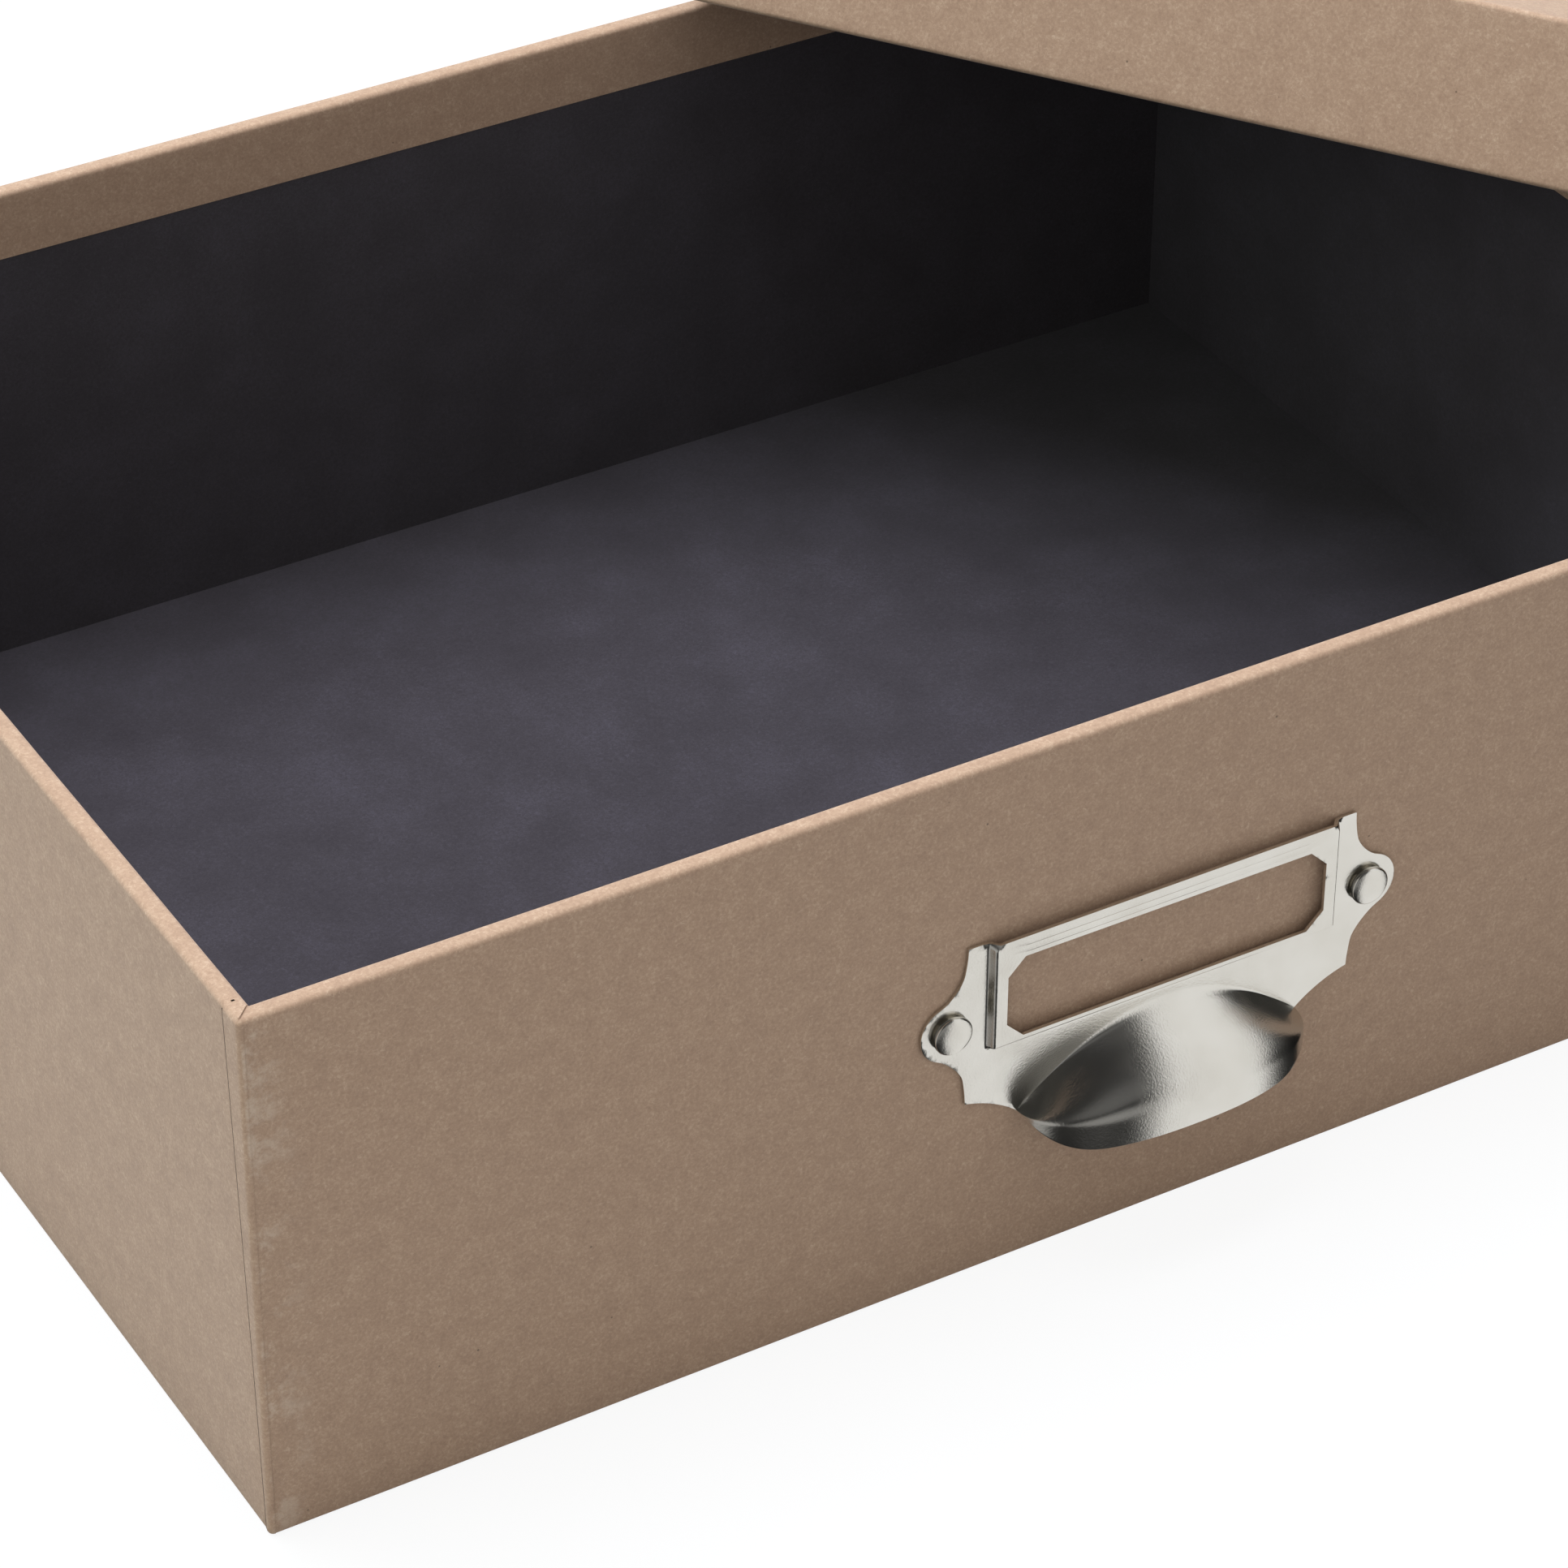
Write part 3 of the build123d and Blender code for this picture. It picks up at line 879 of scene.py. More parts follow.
@dataclass
class LabelPull(SubAssembly):
    """The pressed plate with its label frame and cup, and its two rivets.

    The plate is drawn flat, x across, y up the wall and z out from it, and then stood against
    the front of the box.
    """

    slots: ClassVar[Slots] = {Slot.NICKEL: ("rivet_posts",)}
    wall_y: float = -115.5
    sheet: float = 0.6
    sheared_edge: float = 0.12
    rivet: Flat = (38.0, 48.8)
    lobe_radius: float = 5.2
    lobe_arc: Flat = (70.0, -65.0)
    horn: Flat = (35.1, 63.3)
    point: Flat = (35.1, 34.0)
    neck_x: float = 35.6
    neck_rise: float = 2.6
    scallop_mid: Flat = (29.4, 31.8)
    frame_x: float = 30.9
    frame_bottom: float = 43.2
    frame_raise: float = 1.5
    frame_slope: float = 0.9
    crease_depth: float = 0.09
    crease_below: float = 0.3
    crease_width: float = 0.28
    window_x: float = 28.9
    window_low: float = 44.8
    window_high: float = 59.7
    window_corner: float = 3.0
    bead_x: float = 26.8
    bead_levels: tuple[float, ...] = (60.75, 61.95)
    bead_height: float = 0.17
    bead_width: float = 0.62
    cup_x: float = 25.7
    cup_depth: float = 12.4
    cup_end: float = 29.2
    cup_crown: float = 40.6
    cup_lip: float = 24.6
    cup_squareness: float = 2.4
    arch_fullness: float = 2.15
    arch_leave: Flat = (0.38, 0.42)
    arch_arrive: float = 0.46
    blend: float = 1.1
    blend_handles: Flat = (0.62, 0.38)
    cap_radius: float = 3.3
    cap_neck_radius: float = 2.7
    cap_neck: float = 0.45
    cap_dome: float = 1.05
    cap_shoulder: float = 0.40
    cap_crown: float = 0.22

    def stand(self) -> Matrix:
        """The place of the flat drawing on the wall, in metres."""
        return Matrix(((1, 0, 0, 0), (0, 0, -1, self.wall_y * MM), (0, 1, 0, 0), (0, 0, 0, 1)))

    def outline(self) -> list[Flat]:
        """The plate's edge without the cup, from one cup end over the top to the other.

        Returns:
            Points from the left cup end clockwise to the right one.
        """
        ry = self.rivet[1]
        lobe = arc(self.rivet, self.lobe_radius, *self.lobe_arc, 16)
        upper_neck = (self.neck_x, (self.horn[1] + ry) / 2 + self.neck_rise)
        lower_neck = (self.neck_x, (self.point[1] + ry) / 2 - self.neck_rise)
        right = hermite(self.horn, (0, -5), upper_neck, (0.9, -5), 8)
        right += hermite(upper_neck, (1.1, -5.6), lobe[0], (5.0, -1.8), 8)
        right += lobe[:-1]
        right += hermite(lobe[-1], (-5.0, -2.35), lower_neck, (-0.9, -5), 8)
        right += hermite(lower_neck, (-0.7, -4), self.point, (0, -4), 7)
        right += self._scallop()
        left = [(-x, y) for x, y in reversed(right)]
        bar = [(-self.horn[0] + 2 * self.horn[0] * step / 60, self.horn[1])
               for step in range(1, 60)]
        return left + bar + right

    def _scallop(self) -> list[Flat]:
        """The hollow curve from the lower point in to the cup's end, as a circle's arc.

        Returns:
            Its points, both ends included.
        """
        (ax, ay), (bx, by), (cx, cy) = self.point, self.scallop_mid, (self.cup_x, self.cup_end)
        turn = 2 * (ax * (by - cy) + bx * (cy - ay) + cx * (ay - by))
        sa, sb, sc = ax**2 + ay**2, bx**2 + by**2, cx**2 + cy**2
        ox = (sa * (by - cy) + sb * (cy - ay) + sc * (ay - by)) / turn
        oy = (sa * (cx - bx) + sb * (ax - cx) + sc * (bx - ax)) / turn
        radius = math.hypot(ax - ox, ay - oy)
        begin = math.atan2(ay - oy, ax - ox)
        end = math.atan2(cy - oy, cx - ox)
        if end - begin > math.pi:
            end -= 2 * math.pi
        if begin - end > math.pi:
            end += 2 * math.pi
        return [(ox + radius * math.cos(begin + (end - begin) * i / 12),
                 oy + radius * math.sin(begin + (end - begin) * i / 12)) for i in range(13)]

    def lip(self, x: float) -> float:
        """How low the cup's lip comes.

        Args:
            x: The place across the plate.

        Returns:
            The lip's height on the wall.
        """
        share = abs(x) / self.cup_x
        if share <= 0.6:
            return self.cup_lip
        corners = ((0.6, self.cup_lip), (0.8, self.cup_lip), (0.93, self.cup_lip + 1.7),
                   (1.0, self.cup_end))
        low, high = 0.0, 1.0
        for _ in range(24):
            middle = (low + high) / 2
            if bezier(corners, middle)[0] < share:
                low = middle
            else:
                high = middle
        return bezier(corners, low)[1]

    def cup_section(self, share: float, steps: int) -> list[Point]:
        """The cup's section at a share of its half width, from the plate down to the lip.

        Args:
            share: From minus one at the left end to one at the right.
            steps: How many stretches the section has.

        Returns:
            Points of the flat drawing.
        """
        x = self.cup_x * share
        room = max(0.0, 1 - abs(share) ** self.cup_squareness) ** (1 / self.cup_squareness)
        deep = max(self.cup_depth * room, self.sheet + 0.001)
        rise = max(0.0, 1 - abs(share) ** self.arch_fullness)
        high = (self.cup_crown - self.cup_end) * rise
        soft = self.blend * rise**3
        top = self.cup_end + high
        # The crown leaves the plate at about 50 degrees; towards the ends it stands steeper.
        arch = ((top, 0.0), (top - self.arch_leave[0] * high, self.arch_leave[1] * deep),
                (self.cup_end + self.arch_arrive * high, deep), (self.cup_end, deep))
        # The concave blend leaves the plate level and joins the oval a little way down.
        join, ahead = 0.05 + 0.07 * rise**2, 0.02
        jy, jz = bezier(arch, join)
        ky, kz = bezier(arch, join + ahead)
        dy, dz = (ky - jy) / ahead, (kz - jz) / ahead
        jz = max(jz, self.sheet)
        start = (top + soft, self.sheet)
        reach = math.hypot(jy - start[0], jz - start[1])
        pace = math.hypot(dy, dz) or 1.0
        leave, arrive = self.blend_handles
        blend = (start, (start[0] - reach * leave, self.sheet),
                 (jy - dy / pace * reach * arrive, jz - dz / pace * reach * arrive), (jy, jz))
        # Three tenths of the section are the blend, five the arch and two the straight lip.
        first, second = steps * 3 // 10, steps * 5 // 10
        last = steps - first - second
        low = min(self.lip(x), self.cup_end)
        section = [bezier(blend, i / first) for i in range(first)]
        section += [bezier(arch, join + (1 - join) * i / second) for i in range(second)]
        section += [(self.cup_end + (low - self.cup_end) * i / last, deep)
                    for i in range(last + 1)]
        return [(x, y, max(z, self.sheet)) for y, z in section]

    def height(self, x: float, y: float) -> float:
        """How far the plate's face stands out from the wall.

        Args:
            x: The place across the plate.
            y: The place up the wall.

        Returns:
            The height of the face.
        """
        side = 1 - smoothstep(self.frame_x, self.frame_x + self.frame_slope, abs(x))
        foot = smoothstep(self.frame_bottom, self.frame_bottom + self.frame_slope, y)
        raised = self.sheet + self.frame_raise * side * foot
        # Below the frame the die has left a fine crease.
        away = y - self.frame_bottom + self.crease_below
        raised -= self.crease_depth * side * math.exp(-(away / self.crease_width) ** 2)
        for level in self.bead_levels:
            gap = abs(y - level) / (self.bead_width / 2)
            if gap < 1:
                end = 1 - smoothstep(self.bead_x - 0.8, self.bead_x, abs(x))
                raised += self.bead_height * (math.cos(math.pi * gap) + 1) / 2 * end
        return raised

    def plate(self) -> Piece:
        """Builds the whole pressed sheet as one skin with its thickness.

        Returns:
            The piece, in place of the CAD plate.
        """
        # Sections stand every 3 degrees round the cup, and every 1.5 at its ends.
        turns = [-90, -88.5, -87, -85.5, *(-84 + 3.0 * i for i in range(57)), 85.5, 87, 88.5, 90]
        shares = [math.sin(math.radians(turn)) for turn in turns]
        steps = 40
        sections = [self.cup_section(s, steps) for s in shares]
        arch = [s[0][:2] for s in sections]
        edge = self.outline()
        arch[0], arch[-1] = edge[0], edge[-1]
        border = edge + list(reversed(arch[1:-1]))
        c = self.window_corner
        wx, lo, hi = self.window_x, self.window_low, self.window_high
        corners = [(-wx + c, lo), (wx - c, lo), (wx, lo + c), (wx, hi - c),
                   (wx - c, hi), (-wx + c, hi), (-wx, hi - c), (-wx, lo + c)]
        window = []
        for begin, end in zip(corners, corners[1:] + corners[:1]):
            count = max(3, round(math.dist(begin, end) / 0.9))
            window += [(begin[0] + (end[0] - begin[0]) * i / count,
                        begin[1] + (end[1] - begin[1]) * i / count) for i in range(count)]
        spots, faces = self._triangles(border, window)
        points = [(x, y, self.height(x, y)) for x, y in spots]
        start = len(points)
        for section in sections:
            points.extend(section)
        for face in sheet_faces(len(sections), steps + 1, False):
            faces.append(tuple(start + i for i in face))
        piece = mesh_piece("label_cup_pull", points, faces, self.stand(), 60)
        # The faces turn away from the wall, so that the thickness grows toward it.
        build = bmesh.new()
        build.from_mesh(piece.data)
        bmesh.ops.recalc_face_normals(build, faces=build.faces)
        outward = sum(f.calc_area() * f.normal.y for f in build.faces)
        if outward > 0:
            bmesh.ops.reverse_faces(build, faces=build.faces)
        build.to_mesh(piece.data)
        build.free()
        for kind, name, settings in (
            ("SOLIDIFY", "sheet thickness", {
                "thickness": self.sheet * MM, "offset": -1, "use_even_offset": True,
                "use_quality_normals": True}),
            ("BEVEL", "sheared edge", {
                "width": self.sheared_edge * MM, "segments": 2, "limit_method": "ANGLE",
                "angle_limit": math.radians(62), "use_clamp_overlap": True}),
            ("WEIGHTED_NORMAL", "flat faces stay flat", {
                "mode": "FACE_AREA", "keep_sharp": True}),
        ):
            modifier = piece.modifiers.new(name, kind)
            for key, value in settings.items():
                setattr(modifier, key, value)
        piece.data.materials.append(self.finishes.nickel)
        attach(piece, Body.BOX.value)
        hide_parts("pull_plate")
        return piece

    def _triangles(
        self,
        border: list[Flat],
        window: list[Flat],
    ) -> tuple[list[Flat], list[Face]]:
        """Fills the flat plate between its border and its window.

        Args:
            border: The outer edge, the cup's arch included.
            window: The label window's edge.

        Returns:
            The points and the triangles.
        """
        spots = list(border) + list(window)
        edges = [(i, (i + 1) % len(border)) for i in range(len(border))]
        first = len(border)
        edges += [(first + i, first + (i + 1) % len(window)) for i in range(len(window))]
        # The net is 1.2 mm by 1 mm, 0.9 mm across in the ears and finer over the frame's edge
        # and the beads. No point of it lies nearer to a border than clear.
        clear = 0.3
        fold = [self.frame_x - 0.15 + 0.13 * i for i in range(10)]
        xs = sorted({*(-33.6 + 1.2 * i for i in range(57)), *fold, *(-x for x in fold)})
        ys = {29 + 1.0 * i for i in range(35)}
        ys |= {self.frame_bottom - 0.93 + 0.13 * i for i in range(16)}
        for level in self.bead_levels:
            ys |= {level + 0.155 * i for i in range(-2, 3)}
        wall = border + border[:1]
        sill = window + window[:1]
        ear = [36.5 + 0.9 * i for i in range(8)]
        for x in xs + ear + [-x for x in ear]:
            for y in sorted(ys):
                if not self._inside(x, y, border) or self._inside(x, y, window):
                    continue
                if min(self._gap(x, y, wall), self._gap(x, y, sill)) < clear:
                    continue
                spots.append((x, y))
        made = delaunay_2d_cdt([Vector(s) for s in spots], edges, [], 0, 1e-5)
        kept = []
        for face in made[2]:
            mid_x = sum(made[0][i].x for i in face) / len(face)
            mid_y = sum(made[0][i].y for i in face) / len(face)
            if self._inside(mid_x, mid_y, border) and not self._inside(mid_x, mid_y, window):
                kept.append(tuple(face))
        return [(v.x, v.y) for v in made[0]], kept

    @staticmethod
    def _inside(x: float, y: float, ring: Sequence[Flat]) -> bool:
        """Whether a flat point lies inside a ring.

        Args:
            x: The point's place across.
            y: Its place up.
            ring: The ring's points.

        Returns:
            True if it does.
        """
        within = False
        for (ax, ay), (bx, by) in zip(ring, [*ring[1:], ring[0]]):
            if (ay > y) != (by > y) and x < (bx - ax) * (y - ay) / (by - ay) + ax:
                within = not within
        return within

    @staticmethod
    def _gap(x: float, y: float, line: Sequence[Flat]) -> float:
        """How far a flat point is from a line of points.

        Args:
            x: The point's place across.
            y: Its place up.
            line: The line's points.

        Returns:
            The distance, which is only right where it is small.
        """
        nearest = 1e9
        for (ax, ay), (bx, by) in zip(line, line[1:]):
            if abs(ax - x) > 3 and abs(bx - x) > 3:
                continue
            dx, dy = bx - ax, by - ay
            span = dx * dx + dy * dy or 1e-9
            share = min(1.0, max(0.0, ((x - ax) * dx + (y - ay) * dy) / span))
            nearest = min(nearest, math.hypot(x - ax - share * dx, y - ay - share * dy))
        return nearest

    def caps(self) -> Piece:
        """Builds the two domed rivet caps.

        Returns:
            The piece, in place of the CAD caps.
        """
        base = self.sheet
        top = base + self.cap_neck + self.cap_dome
        rim = base + self.cap_neck
        profile = [(self.cap_neck_radius + 0.25, base + 0.01), (self.cap_neck_radius, base + 0.12),
                   (self.cap_neck_radius, rim - 0.05), (self.cap_radius - 0.18, rim),
                   (self.cap_radius - 0.05, rim + 0.06), (self.cap_radius, rim + 0.18),
                   (self.cap_radius, rim + 0.42)]
        # The shoulder is tight and the crown between is all but flat.
        shoulder = self.cap_shoulder
        centre = (self.cap_radius - shoulder, top - self.cap_crown - shoulder)
        profile += arc(centre, shoulder, 0, 76, 7)[1:]
        edge_r, edge_z = profile[-1]
        for step in range(1, 13):
            share = 1 - step / 12
            profile.append((edge_r * share, edge_z + (top - edge_z) * (1 - share**3.2)))
        turns = 56
        points: list[Point] = []
        faces: list[Face] = []
        for side in (-1, 1):
            start = len(points)
            for radius, height in profile[:-1]:
                reach = min(radius, self.cap_radius)
                for turn in range(turns):
                    angle = 2 * math.pi * turn / turns
                    points.append((side * self.rivet[0] + reach * math.cos(angle),
                                   self.rivet[1] + reach * math.sin(angle), height))
            rows = len(profile) - 1
            faces += [tuple(start + i for i in f) for f in sheet_faces(rows, turns, True)]
            points.append((side * self.rivet[0], self.rivet[1], top))
            peak = len(points) - 1
            ring = start + (rows - 1) * turns
            faces += [(ring + i, ring + (i + 1) % turns, peak) for i in range(turns)]
        piece = mesh_piece("rivet_heads", points, faces, self.stand(), 40)
        piece.data.materials.append(self.finishes.nickel)
        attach(piece, Body.BOX.value)
        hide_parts("rivet_caps")
        return piece

    def pieces(self) -> list[Piece]:
        """The pressed plate and the rivet caps."""
        return [self.plate(), self.caps()]


# ---------------------------------------------------------------- the lid


@dataclass
class LiftOffLid(SubAssembly):
    """The lid, leaning from the back right corner of the box down to the table behind it."""

    slots: ClassVar[Slots] = {
        Slot.GREYBOARD: ("lid_top_board", "lid_near_board", "lid_far_board",
                         "lid_left_board", "lid_right_board"),
        Slot.TAPE: ("lid_corner_stays",),
        Slot.CHARCOAL: ("lid_top_lining", "lid_skirt_lining"),
    }
    corner: Point = (38.07, 105.68, 103.3)
    turn: float = -55.33
    slope: float = 19.03
    width: float = 239.6
    length: float = 315.6
    height: float = 28.5
    wall: float = 2.9
    round_edge: float = 0.9
    turn_in: float = 12.5

    def place(self) -> Matrix:
        """Where the lid's own drawing stands, in metres.

        Returns:
            The place of the middle of its open side, x along its short side.
        """
        turn, slope = math.radians(self.turn), math.radians(self.slope)
        along = Vector((math.cos(turn), math.sin(turn), 0))
        level = Vector((-math.sin(turn), math.cos(turn), 0))
        down = level * math.cos(slope) - Vector((0, 0, math.sin(slope)))
        up = along.cross(down)
        frame = Matrix.Identity(4)
        for row in range(3):
            frame[row][0], frame[row][1], frame[row][2] = along[row], down[row], up[row]
            frame[row][3] = self.corner[row] * MM
        return frame @ Matrix.Translation((self.width / 2 * MM, self.length / 2 * MM, 0))

    def profile(self) -> list[Flat]:
        """The cover's section: turn-in, rim, skirt and top edge.

        Returns:
            Pairs of inset and height.
        """
        edge = self.round_edge
        inside = [(self.wall, z) for z in (self.turn_in, 9, 5, 2)]
        inner = round_over((self.wall - edge, edge), edge, 180, 262, 5)
        foot = round_over((edge, edge), edge, 278, 360, 5)
        skirt = [(0.0, z) for z in (2, 5, 9, 14, 19, 24, 26.5)]
        top = round_over((edge, self.height - edge), edge, 0, 90, 6)
        rest = [(inset, self.height) for inset in (4, 12, 30, 60, 90, 110)]
        return inside + inner + foot + skirt + top + rest

    def cover(self) -> Piece:
        """Builds the kraft cover of the lid.

        Returns:
            The piece, in place of the CAD cover.
        """
        path = RimPath(self.width, self.length, self.round_edge)
        profile = self.profile()
        points = wavy_sleeve(path, profile, slack=0.08, seed=11.0)
        columns = len(path.at(0))
        faces = sheet_faces(len(profile), columns, True)
        last = (len(profile) - 1) * columns
        faces.append(tuple(last + i for i in range(columns)))
        piece = mesh_piece("lid_cover_paper", points, faces, self.place())
        piece.data.materials.append(self.finishes.kraft)
        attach(piece, Body.LID.value)
        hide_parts("lid_cover_wrap")
        return piece

    def pieces(self) -> list[Piece]:
        """The cover."""
        return [self.cover()]


# ---------------------------------------------------------------- the studio


@dataclass
class Studio:
    """Pale floor, white surroundings, soft lamps and the photograph's camera.

    The nickel mirrors a studio that the world draws for mirrored rays alone: a white wall to
    the front right between two dark cards, a grey patch ahead, and a pale room past the left
    card. Levels are shares of white, and edges are parts of the direction looked in.
    """

    lens: float = 130.52
    eye: Point = (-0.402005, -0.683598, 0.571243)
    right: Point = (0.862560, -0.505941, 0.003670)
    down: Point = (-0.289695, -0.499813, -0.816250)
    forward: Point = (0.414809, 0.703001, -0.577687)
    fill: float = 0.61
    floor_glow: float = 0.90
    floor_reach: float = 6.0
    left_card_edge: Flat = (0.25, 0.37)
    right_card_edge: Flat = (0.73, 0.83)
    right_card_lean: float = -0.12
    left_card_end: Flat = (-0.60, -0.80)
    card_level: float = 0.028
    dim_room: Point = (-0.10, -0.99, -0.10)
    dim_level: float = 0.30
    high_patch: Point = (-0.10, -0.62, 0.78)
    high_level: float = 0.13
    right_fade: Flat = (0.3, 0.7)
    right_level: float = 0.3
    left_level: float = 0.45

    def camera(self) -> None:
        """Sets the camera where the photograph was taken from."""
        data = bpy.data.cameras.new("photo view")
        data.lens = self.lens
        data.sensor_width = 36
        data.clip_start = 0.01
        data.clip_end = 50
        eye = bpy.data.objects.new("photo view", data)
        pose = Matrix.Identity(4)
        for row in range(3):
            pose[row][0] = self.right[row]
            pose[row][1] = -self.down[row]
            pose[row][2] = -self.forward[row]
            pose[row][3] = self.eye[row]
        eye.matrix_world = pose
        bpy.context.scene.collection.objects.link(eye)
        bpy.context.scene.camera = eye

    def _seen(self, tree: Tree) -> Node:
        """Tells what the camera sees straight, mirrored or through glass.

        Args:
            tree: The material's tree.

        Returns:
            One for such a ray, else nought.
        """
        path = add_node(tree, "ShaderNodeLightPath")
        first = add_node(tree, "ShaderNodeMath", {
            0: path.outputs["Is Camera Ray"], 1: path.outputs["Is Glossy Ray"]},
            operation="MAXIMUM")
        return add_node(tree, "ShaderNodeMath", {
            0: first, 1: path.outputs["Is Transmission Ray"]}, operation="MAXIMUM")

    def surroundings(self) -> None:
        """Sets a world that is white to the eye, a soft fill, and a studio to the nickel."""
        world = bpy.data.worlds.new("white surroundings")
        bpy.context.scene.world = world
        world.use_nodes = True
        tree = world.node_tree
        tree.nodes.clear()
        path = add_node(tree, "ShaderNodeLightPath")
        straight = add_node(tree, "ShaderNodeMath", {
            0: path.outputs["Is Camera Ray"], 1: path.outputs["Is Transmission Ray"]},
            operation="MAXIMUM")
        mirrored = add_node(tree, "ShaderNodeMix", {
            "Factor": path.outputs["Is Glossy Ray"], "A": self.fill,
            "B": self._mirrored_studio(tree)}, data_type="FLOAT")
        level = add_node(tree, "ShaderNodeMix", {
            "Factor": straight, "A": mirrored, "B": 1.0}, data_type="FLOAT")
        back = add_node(tree, "ShaderNodeBackground", {
            "Color": linear("#FFFFFF"), "Strength": level})
        add_node(tree, "ShaderNodeOutputWorld", {"Surface": back})

    def _mirrored_studio(self, tree: Tree) -> Node:
        """Draws the studio that the nickel mirrors.

        Args:
            tree: The world's tree.

        Returns:
            How bright it is in each direction.
        """
        # A world's texture coordinates start with the direction looked in.
        toward = add_node(tree, "ShaderNodeTexCoord")
        way = add_node(tree, "ShaderNodeSeparateXYZ", {"Vector": toward})
        from_left = add_node(tree, "ShaderNodeMapRange", {
            "Value": way.outputs["X"], "From Min": self.left_card_edge[0],
            "From Max": self.left_card_edge[1]}, interpolation_type="SMOOTHSTEP")
        lean = add_node(tree, "ShaderNodeMath", {
            0: way.outputs["Z"], 1: self.right_card_lean, 2: way.outputs["X"]},
            operation="MULTIPLY_ADD")
        to_right = add_node(tree, "ShaderNodeMapRange", {
            "Value": lean, "From Min": self.right_card_edge[0],
            "From Max": self.right_card_edge[1], "To Min": 1.0, "To Max": 0.0},
            interpolation_type="SMOOTHSTEP")
        wall = add_node(tree, "ShaderNodeMath", {0: from_left, 1: to_right}, operation="MULTIPLY")
        # The dark cards show a soft grey patch straight ahead and a fainter one above it.
        dim = add_node(tree, "ShaderNodeMath", {
            0: self._patch(tree, toward, self.dim_room, 0.82, (self.card_level, self.dim_level)),
            1: self._patch(tree, toward, self.high_patch, 0.86, (0.0, self.high_level))},
            operation="MAXIMUM")
        right_dark = add_node(tree, "ShaderNodeMapRange", {
            "Value": way.outputs["X"], "From Min": self.right_fade[0],
            "From Max": self.right_fade[1], "To Min": 1.0, "To Max": self.right_level})
        room = add_node(tree, "ShaderNodeMath", {0: dim, 1: right_dark}, operation="MULTIPLY")
        both = add_node(tree, "ShaderNodeMath", {0: wall, 1: room}, operation="MAXIMUM")
        # Past the left card the pale room shows again.
        leftward = add_node(tree, "ShaderNodeMapRange", {
            "Value": way.outputs["X"], "From Min": self.left_card_end[0],
            "From Max": self.left_card_end[1], "To Max": self.left_level},
            interpolation_type="SMOOTHSTEP")
        return add_node(tree, "ShaderNodeMath", {0: both, 1: leftward}, operation="MAXIMUM")

    def _patch(
        self, tree: Tree, toward: Node, middle: Point, rim: float, levels: Flat,
    ) -> Node:
        """Draws a soft round patch in the studio.

        Args:
            tree: The world's tree.
            toward: The direction looked in.
            middle: The direction of the patch's middle.
            rim: Where it begins, as a cosine from the middle.
            levels: How bright it is outside and in its middle.

        Returns:
            How bright it is in each direction.
        """
        near = add_node(tree, "ShaderNodeVectorMath", {0: toward, 1: middle},
                        operation="DOT_PRODUCT")
        return add_node(tree, "ShaderNodeMapRange", {
            "Value": near, "From Min": rim, "To Min": levels[0],
            "To Max": levels[1]}, interpolation_type="SMOOTHSTEP")

    def floor(self) -> None:
        """Lays the pale floor, which keeps the object's shadow."""
        reach = self.floor_reach
        mesh = bpy.data.meshes.new("studio floor")
        mesh.from_pydata([(-reach, -reach, 0), (reach, -reach, 0), (reach, reach, 0),
                          (-reach, reach, 0)], [], [(0, 1, 2, 3)])
        floor = bpy.data.objects.new("studio_floor", mesh)
        bpy.context.scene.collection.objects.link(floor)
        material, tree = new_material("pale studio paper")
        matt = add_node(tree, "ShaderNodeBsdfDiffuse", {"Color": linear("#BFBFBD")})
        bright = add_node(tree, "ShaderNodeBsdfDiffuse", {"Color": linear("#F4F4F2")})
        glow = add_node(tree, "ShaderNodeEmission", {"Color": linear("#FFFFFF")})
        white = add_node(tree, "ShaderNodeMixShader", {"Fac": self.floor_glow, 1: bright, 2: glow})
        chosen = add_node(tree, "ShaderNodeMixShader", {
            "Fac": self._seen(tree), 1: matt, 2: white})
        add_node(tree, "ShaderNodeOutputMaterial", {"Surface": chosen})
        mesh.materials.append(material)
        # The nickel mirrors the studio that the world draws, and not the floor.
        floor.visible_glossy = False

    def lamp(self, name: str, spot: Point, aim: Point, size: float, watts: float,
             colour: str) -> None:
        """Hangs one soft square lamp.

        Args:
            name: The lamp's name.
            spot: Where it hangs, in metres.
            aim: What it points at.
            size: Its side in metres.
            watts: Its power.
            colour: Its light.
        """
        data = bpy.data.lights.new(name, "AREA")
        data.shape = "SQUARE"
        data.size = size
        data.energy = watts
        data.color = linear(colour)[:3]
        lamp = bpy.data.objects.new(name, data)
        lamp.location = spot
        way = Vector(aim) - Vector(spot)
        lamp.rotation_mode = "QUATERNION"
        lamp.rotation_quaternion = way.to_track_quat("-Z", "Y")
        lamp.visible_glossy = False
        bpy.context.scene.collection.objects.link(lamp)

    def build(self) -> None:
        """Sets up camera, floor, world and lamps."""
        self.camera()
        self.surroundings()
        self.floor()
        aim = (0, 0, 0.05)
        self.lamp("overhead softbox", (-0.15, 0.35, 1.35), aim, size=1.1, watts=30,
                  colour="#E8F1FF")
        self.lamp("left softbox", (-1.5, 0.1, 0.7), aim, size=0.9, watts=4.0,
                  colour="#DDF6EA")
        bpy.context.scene.view_settings.view_transform = "Standard"


def corners(box: tuple[Vector, Vector]) -> list[list[float]]:
    """The two corners of a box as plain lists."""
    return [list(box[0]), list(box[1])]


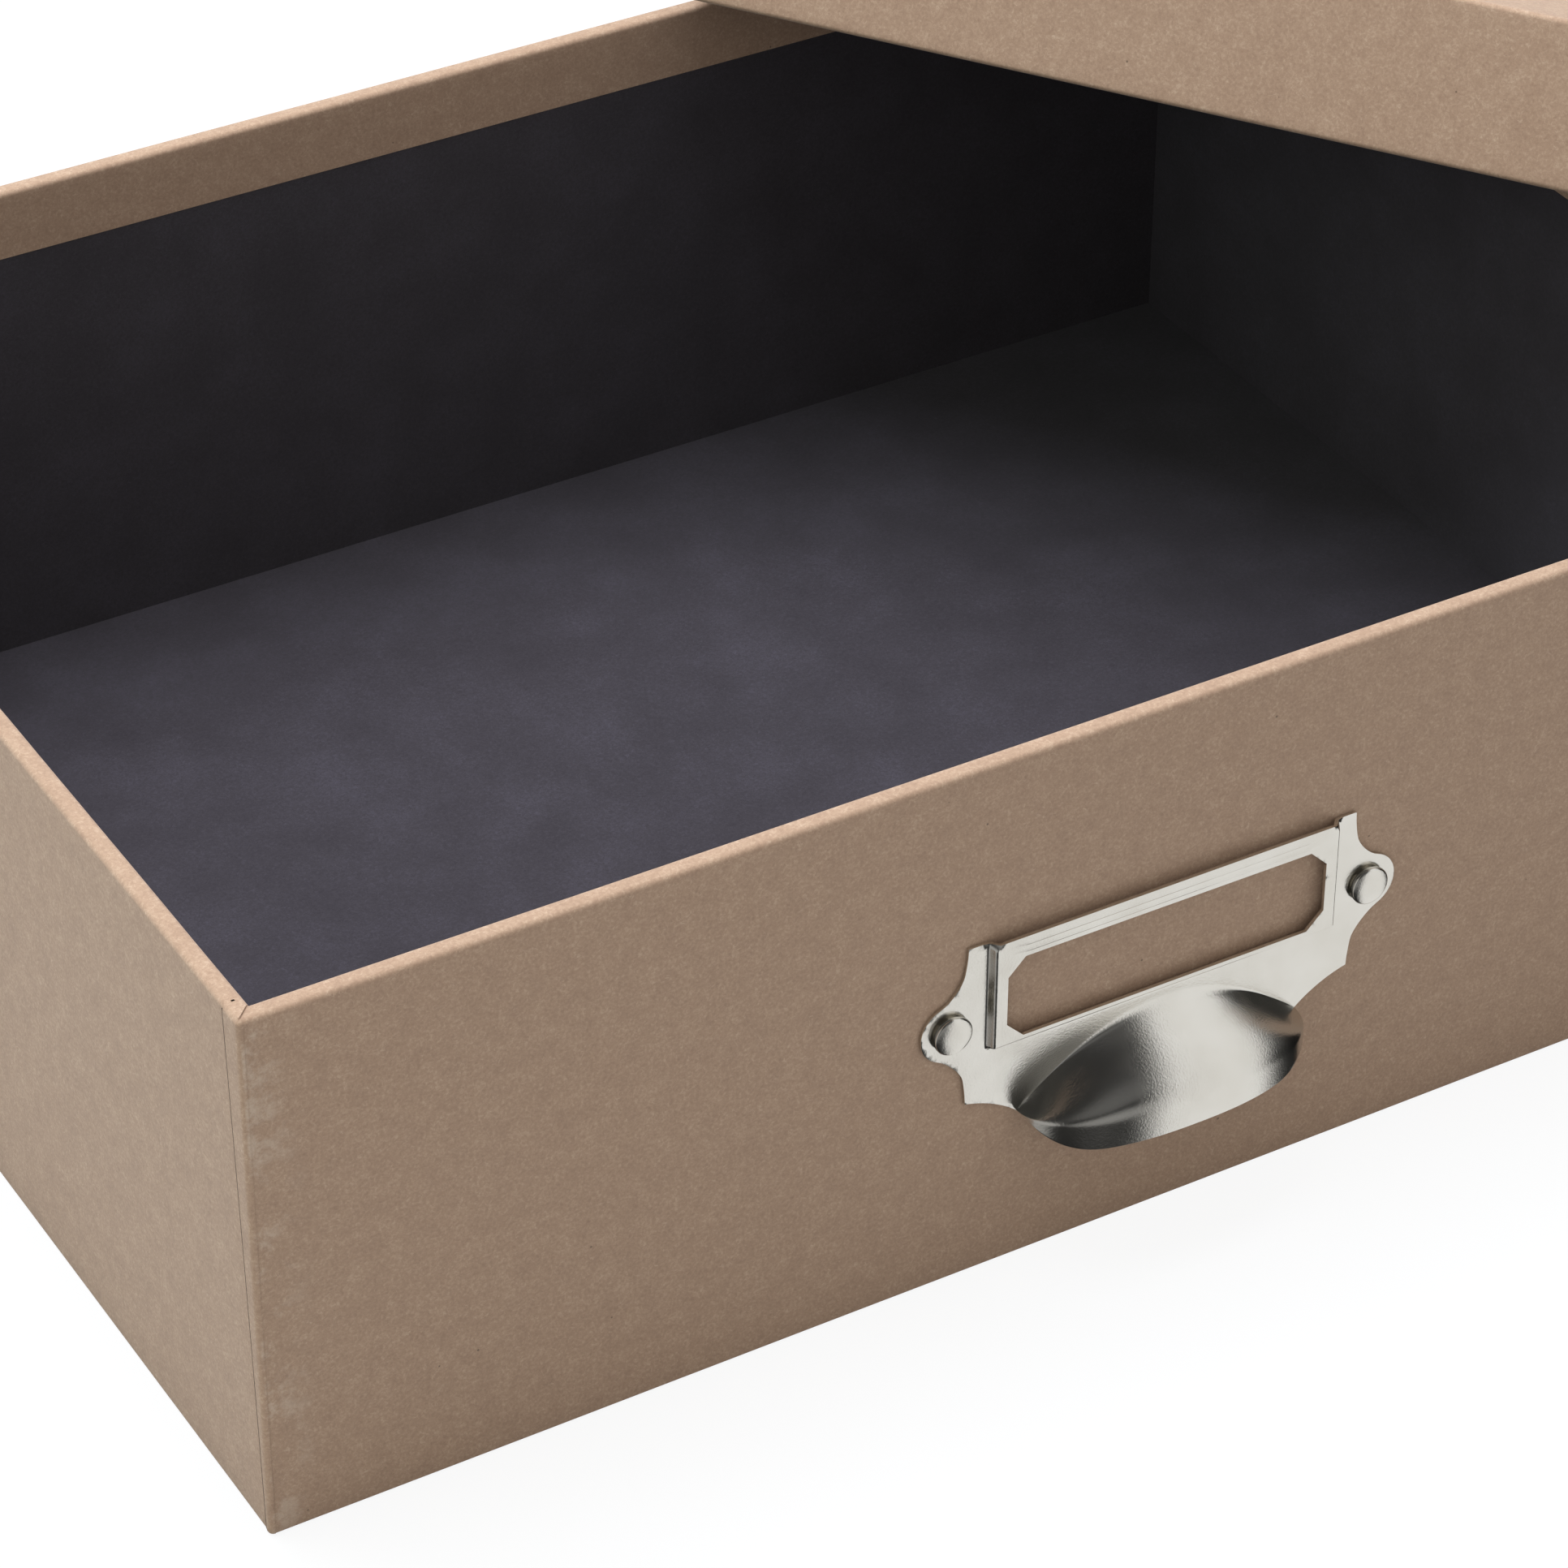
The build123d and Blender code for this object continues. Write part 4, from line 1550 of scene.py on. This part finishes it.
def main() -> None:
    """Builds the dressed file box and its studio."""
    logging.basicConfig(level=logging.INFO, format="%(name)s: %(message)s")
    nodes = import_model()["nodes"]
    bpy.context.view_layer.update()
    finishes = Finishes()
    for assembly in (BoxTray(finishes), LabelPull(finishes), LiftOffLid(finishes)):
        for piece in assembly.build(nodes):
            LOG.info("%s: %d faces", piece.name, len(piece.data.polygons))
    Studio().build()


if __name__ == "__main__":
    main()
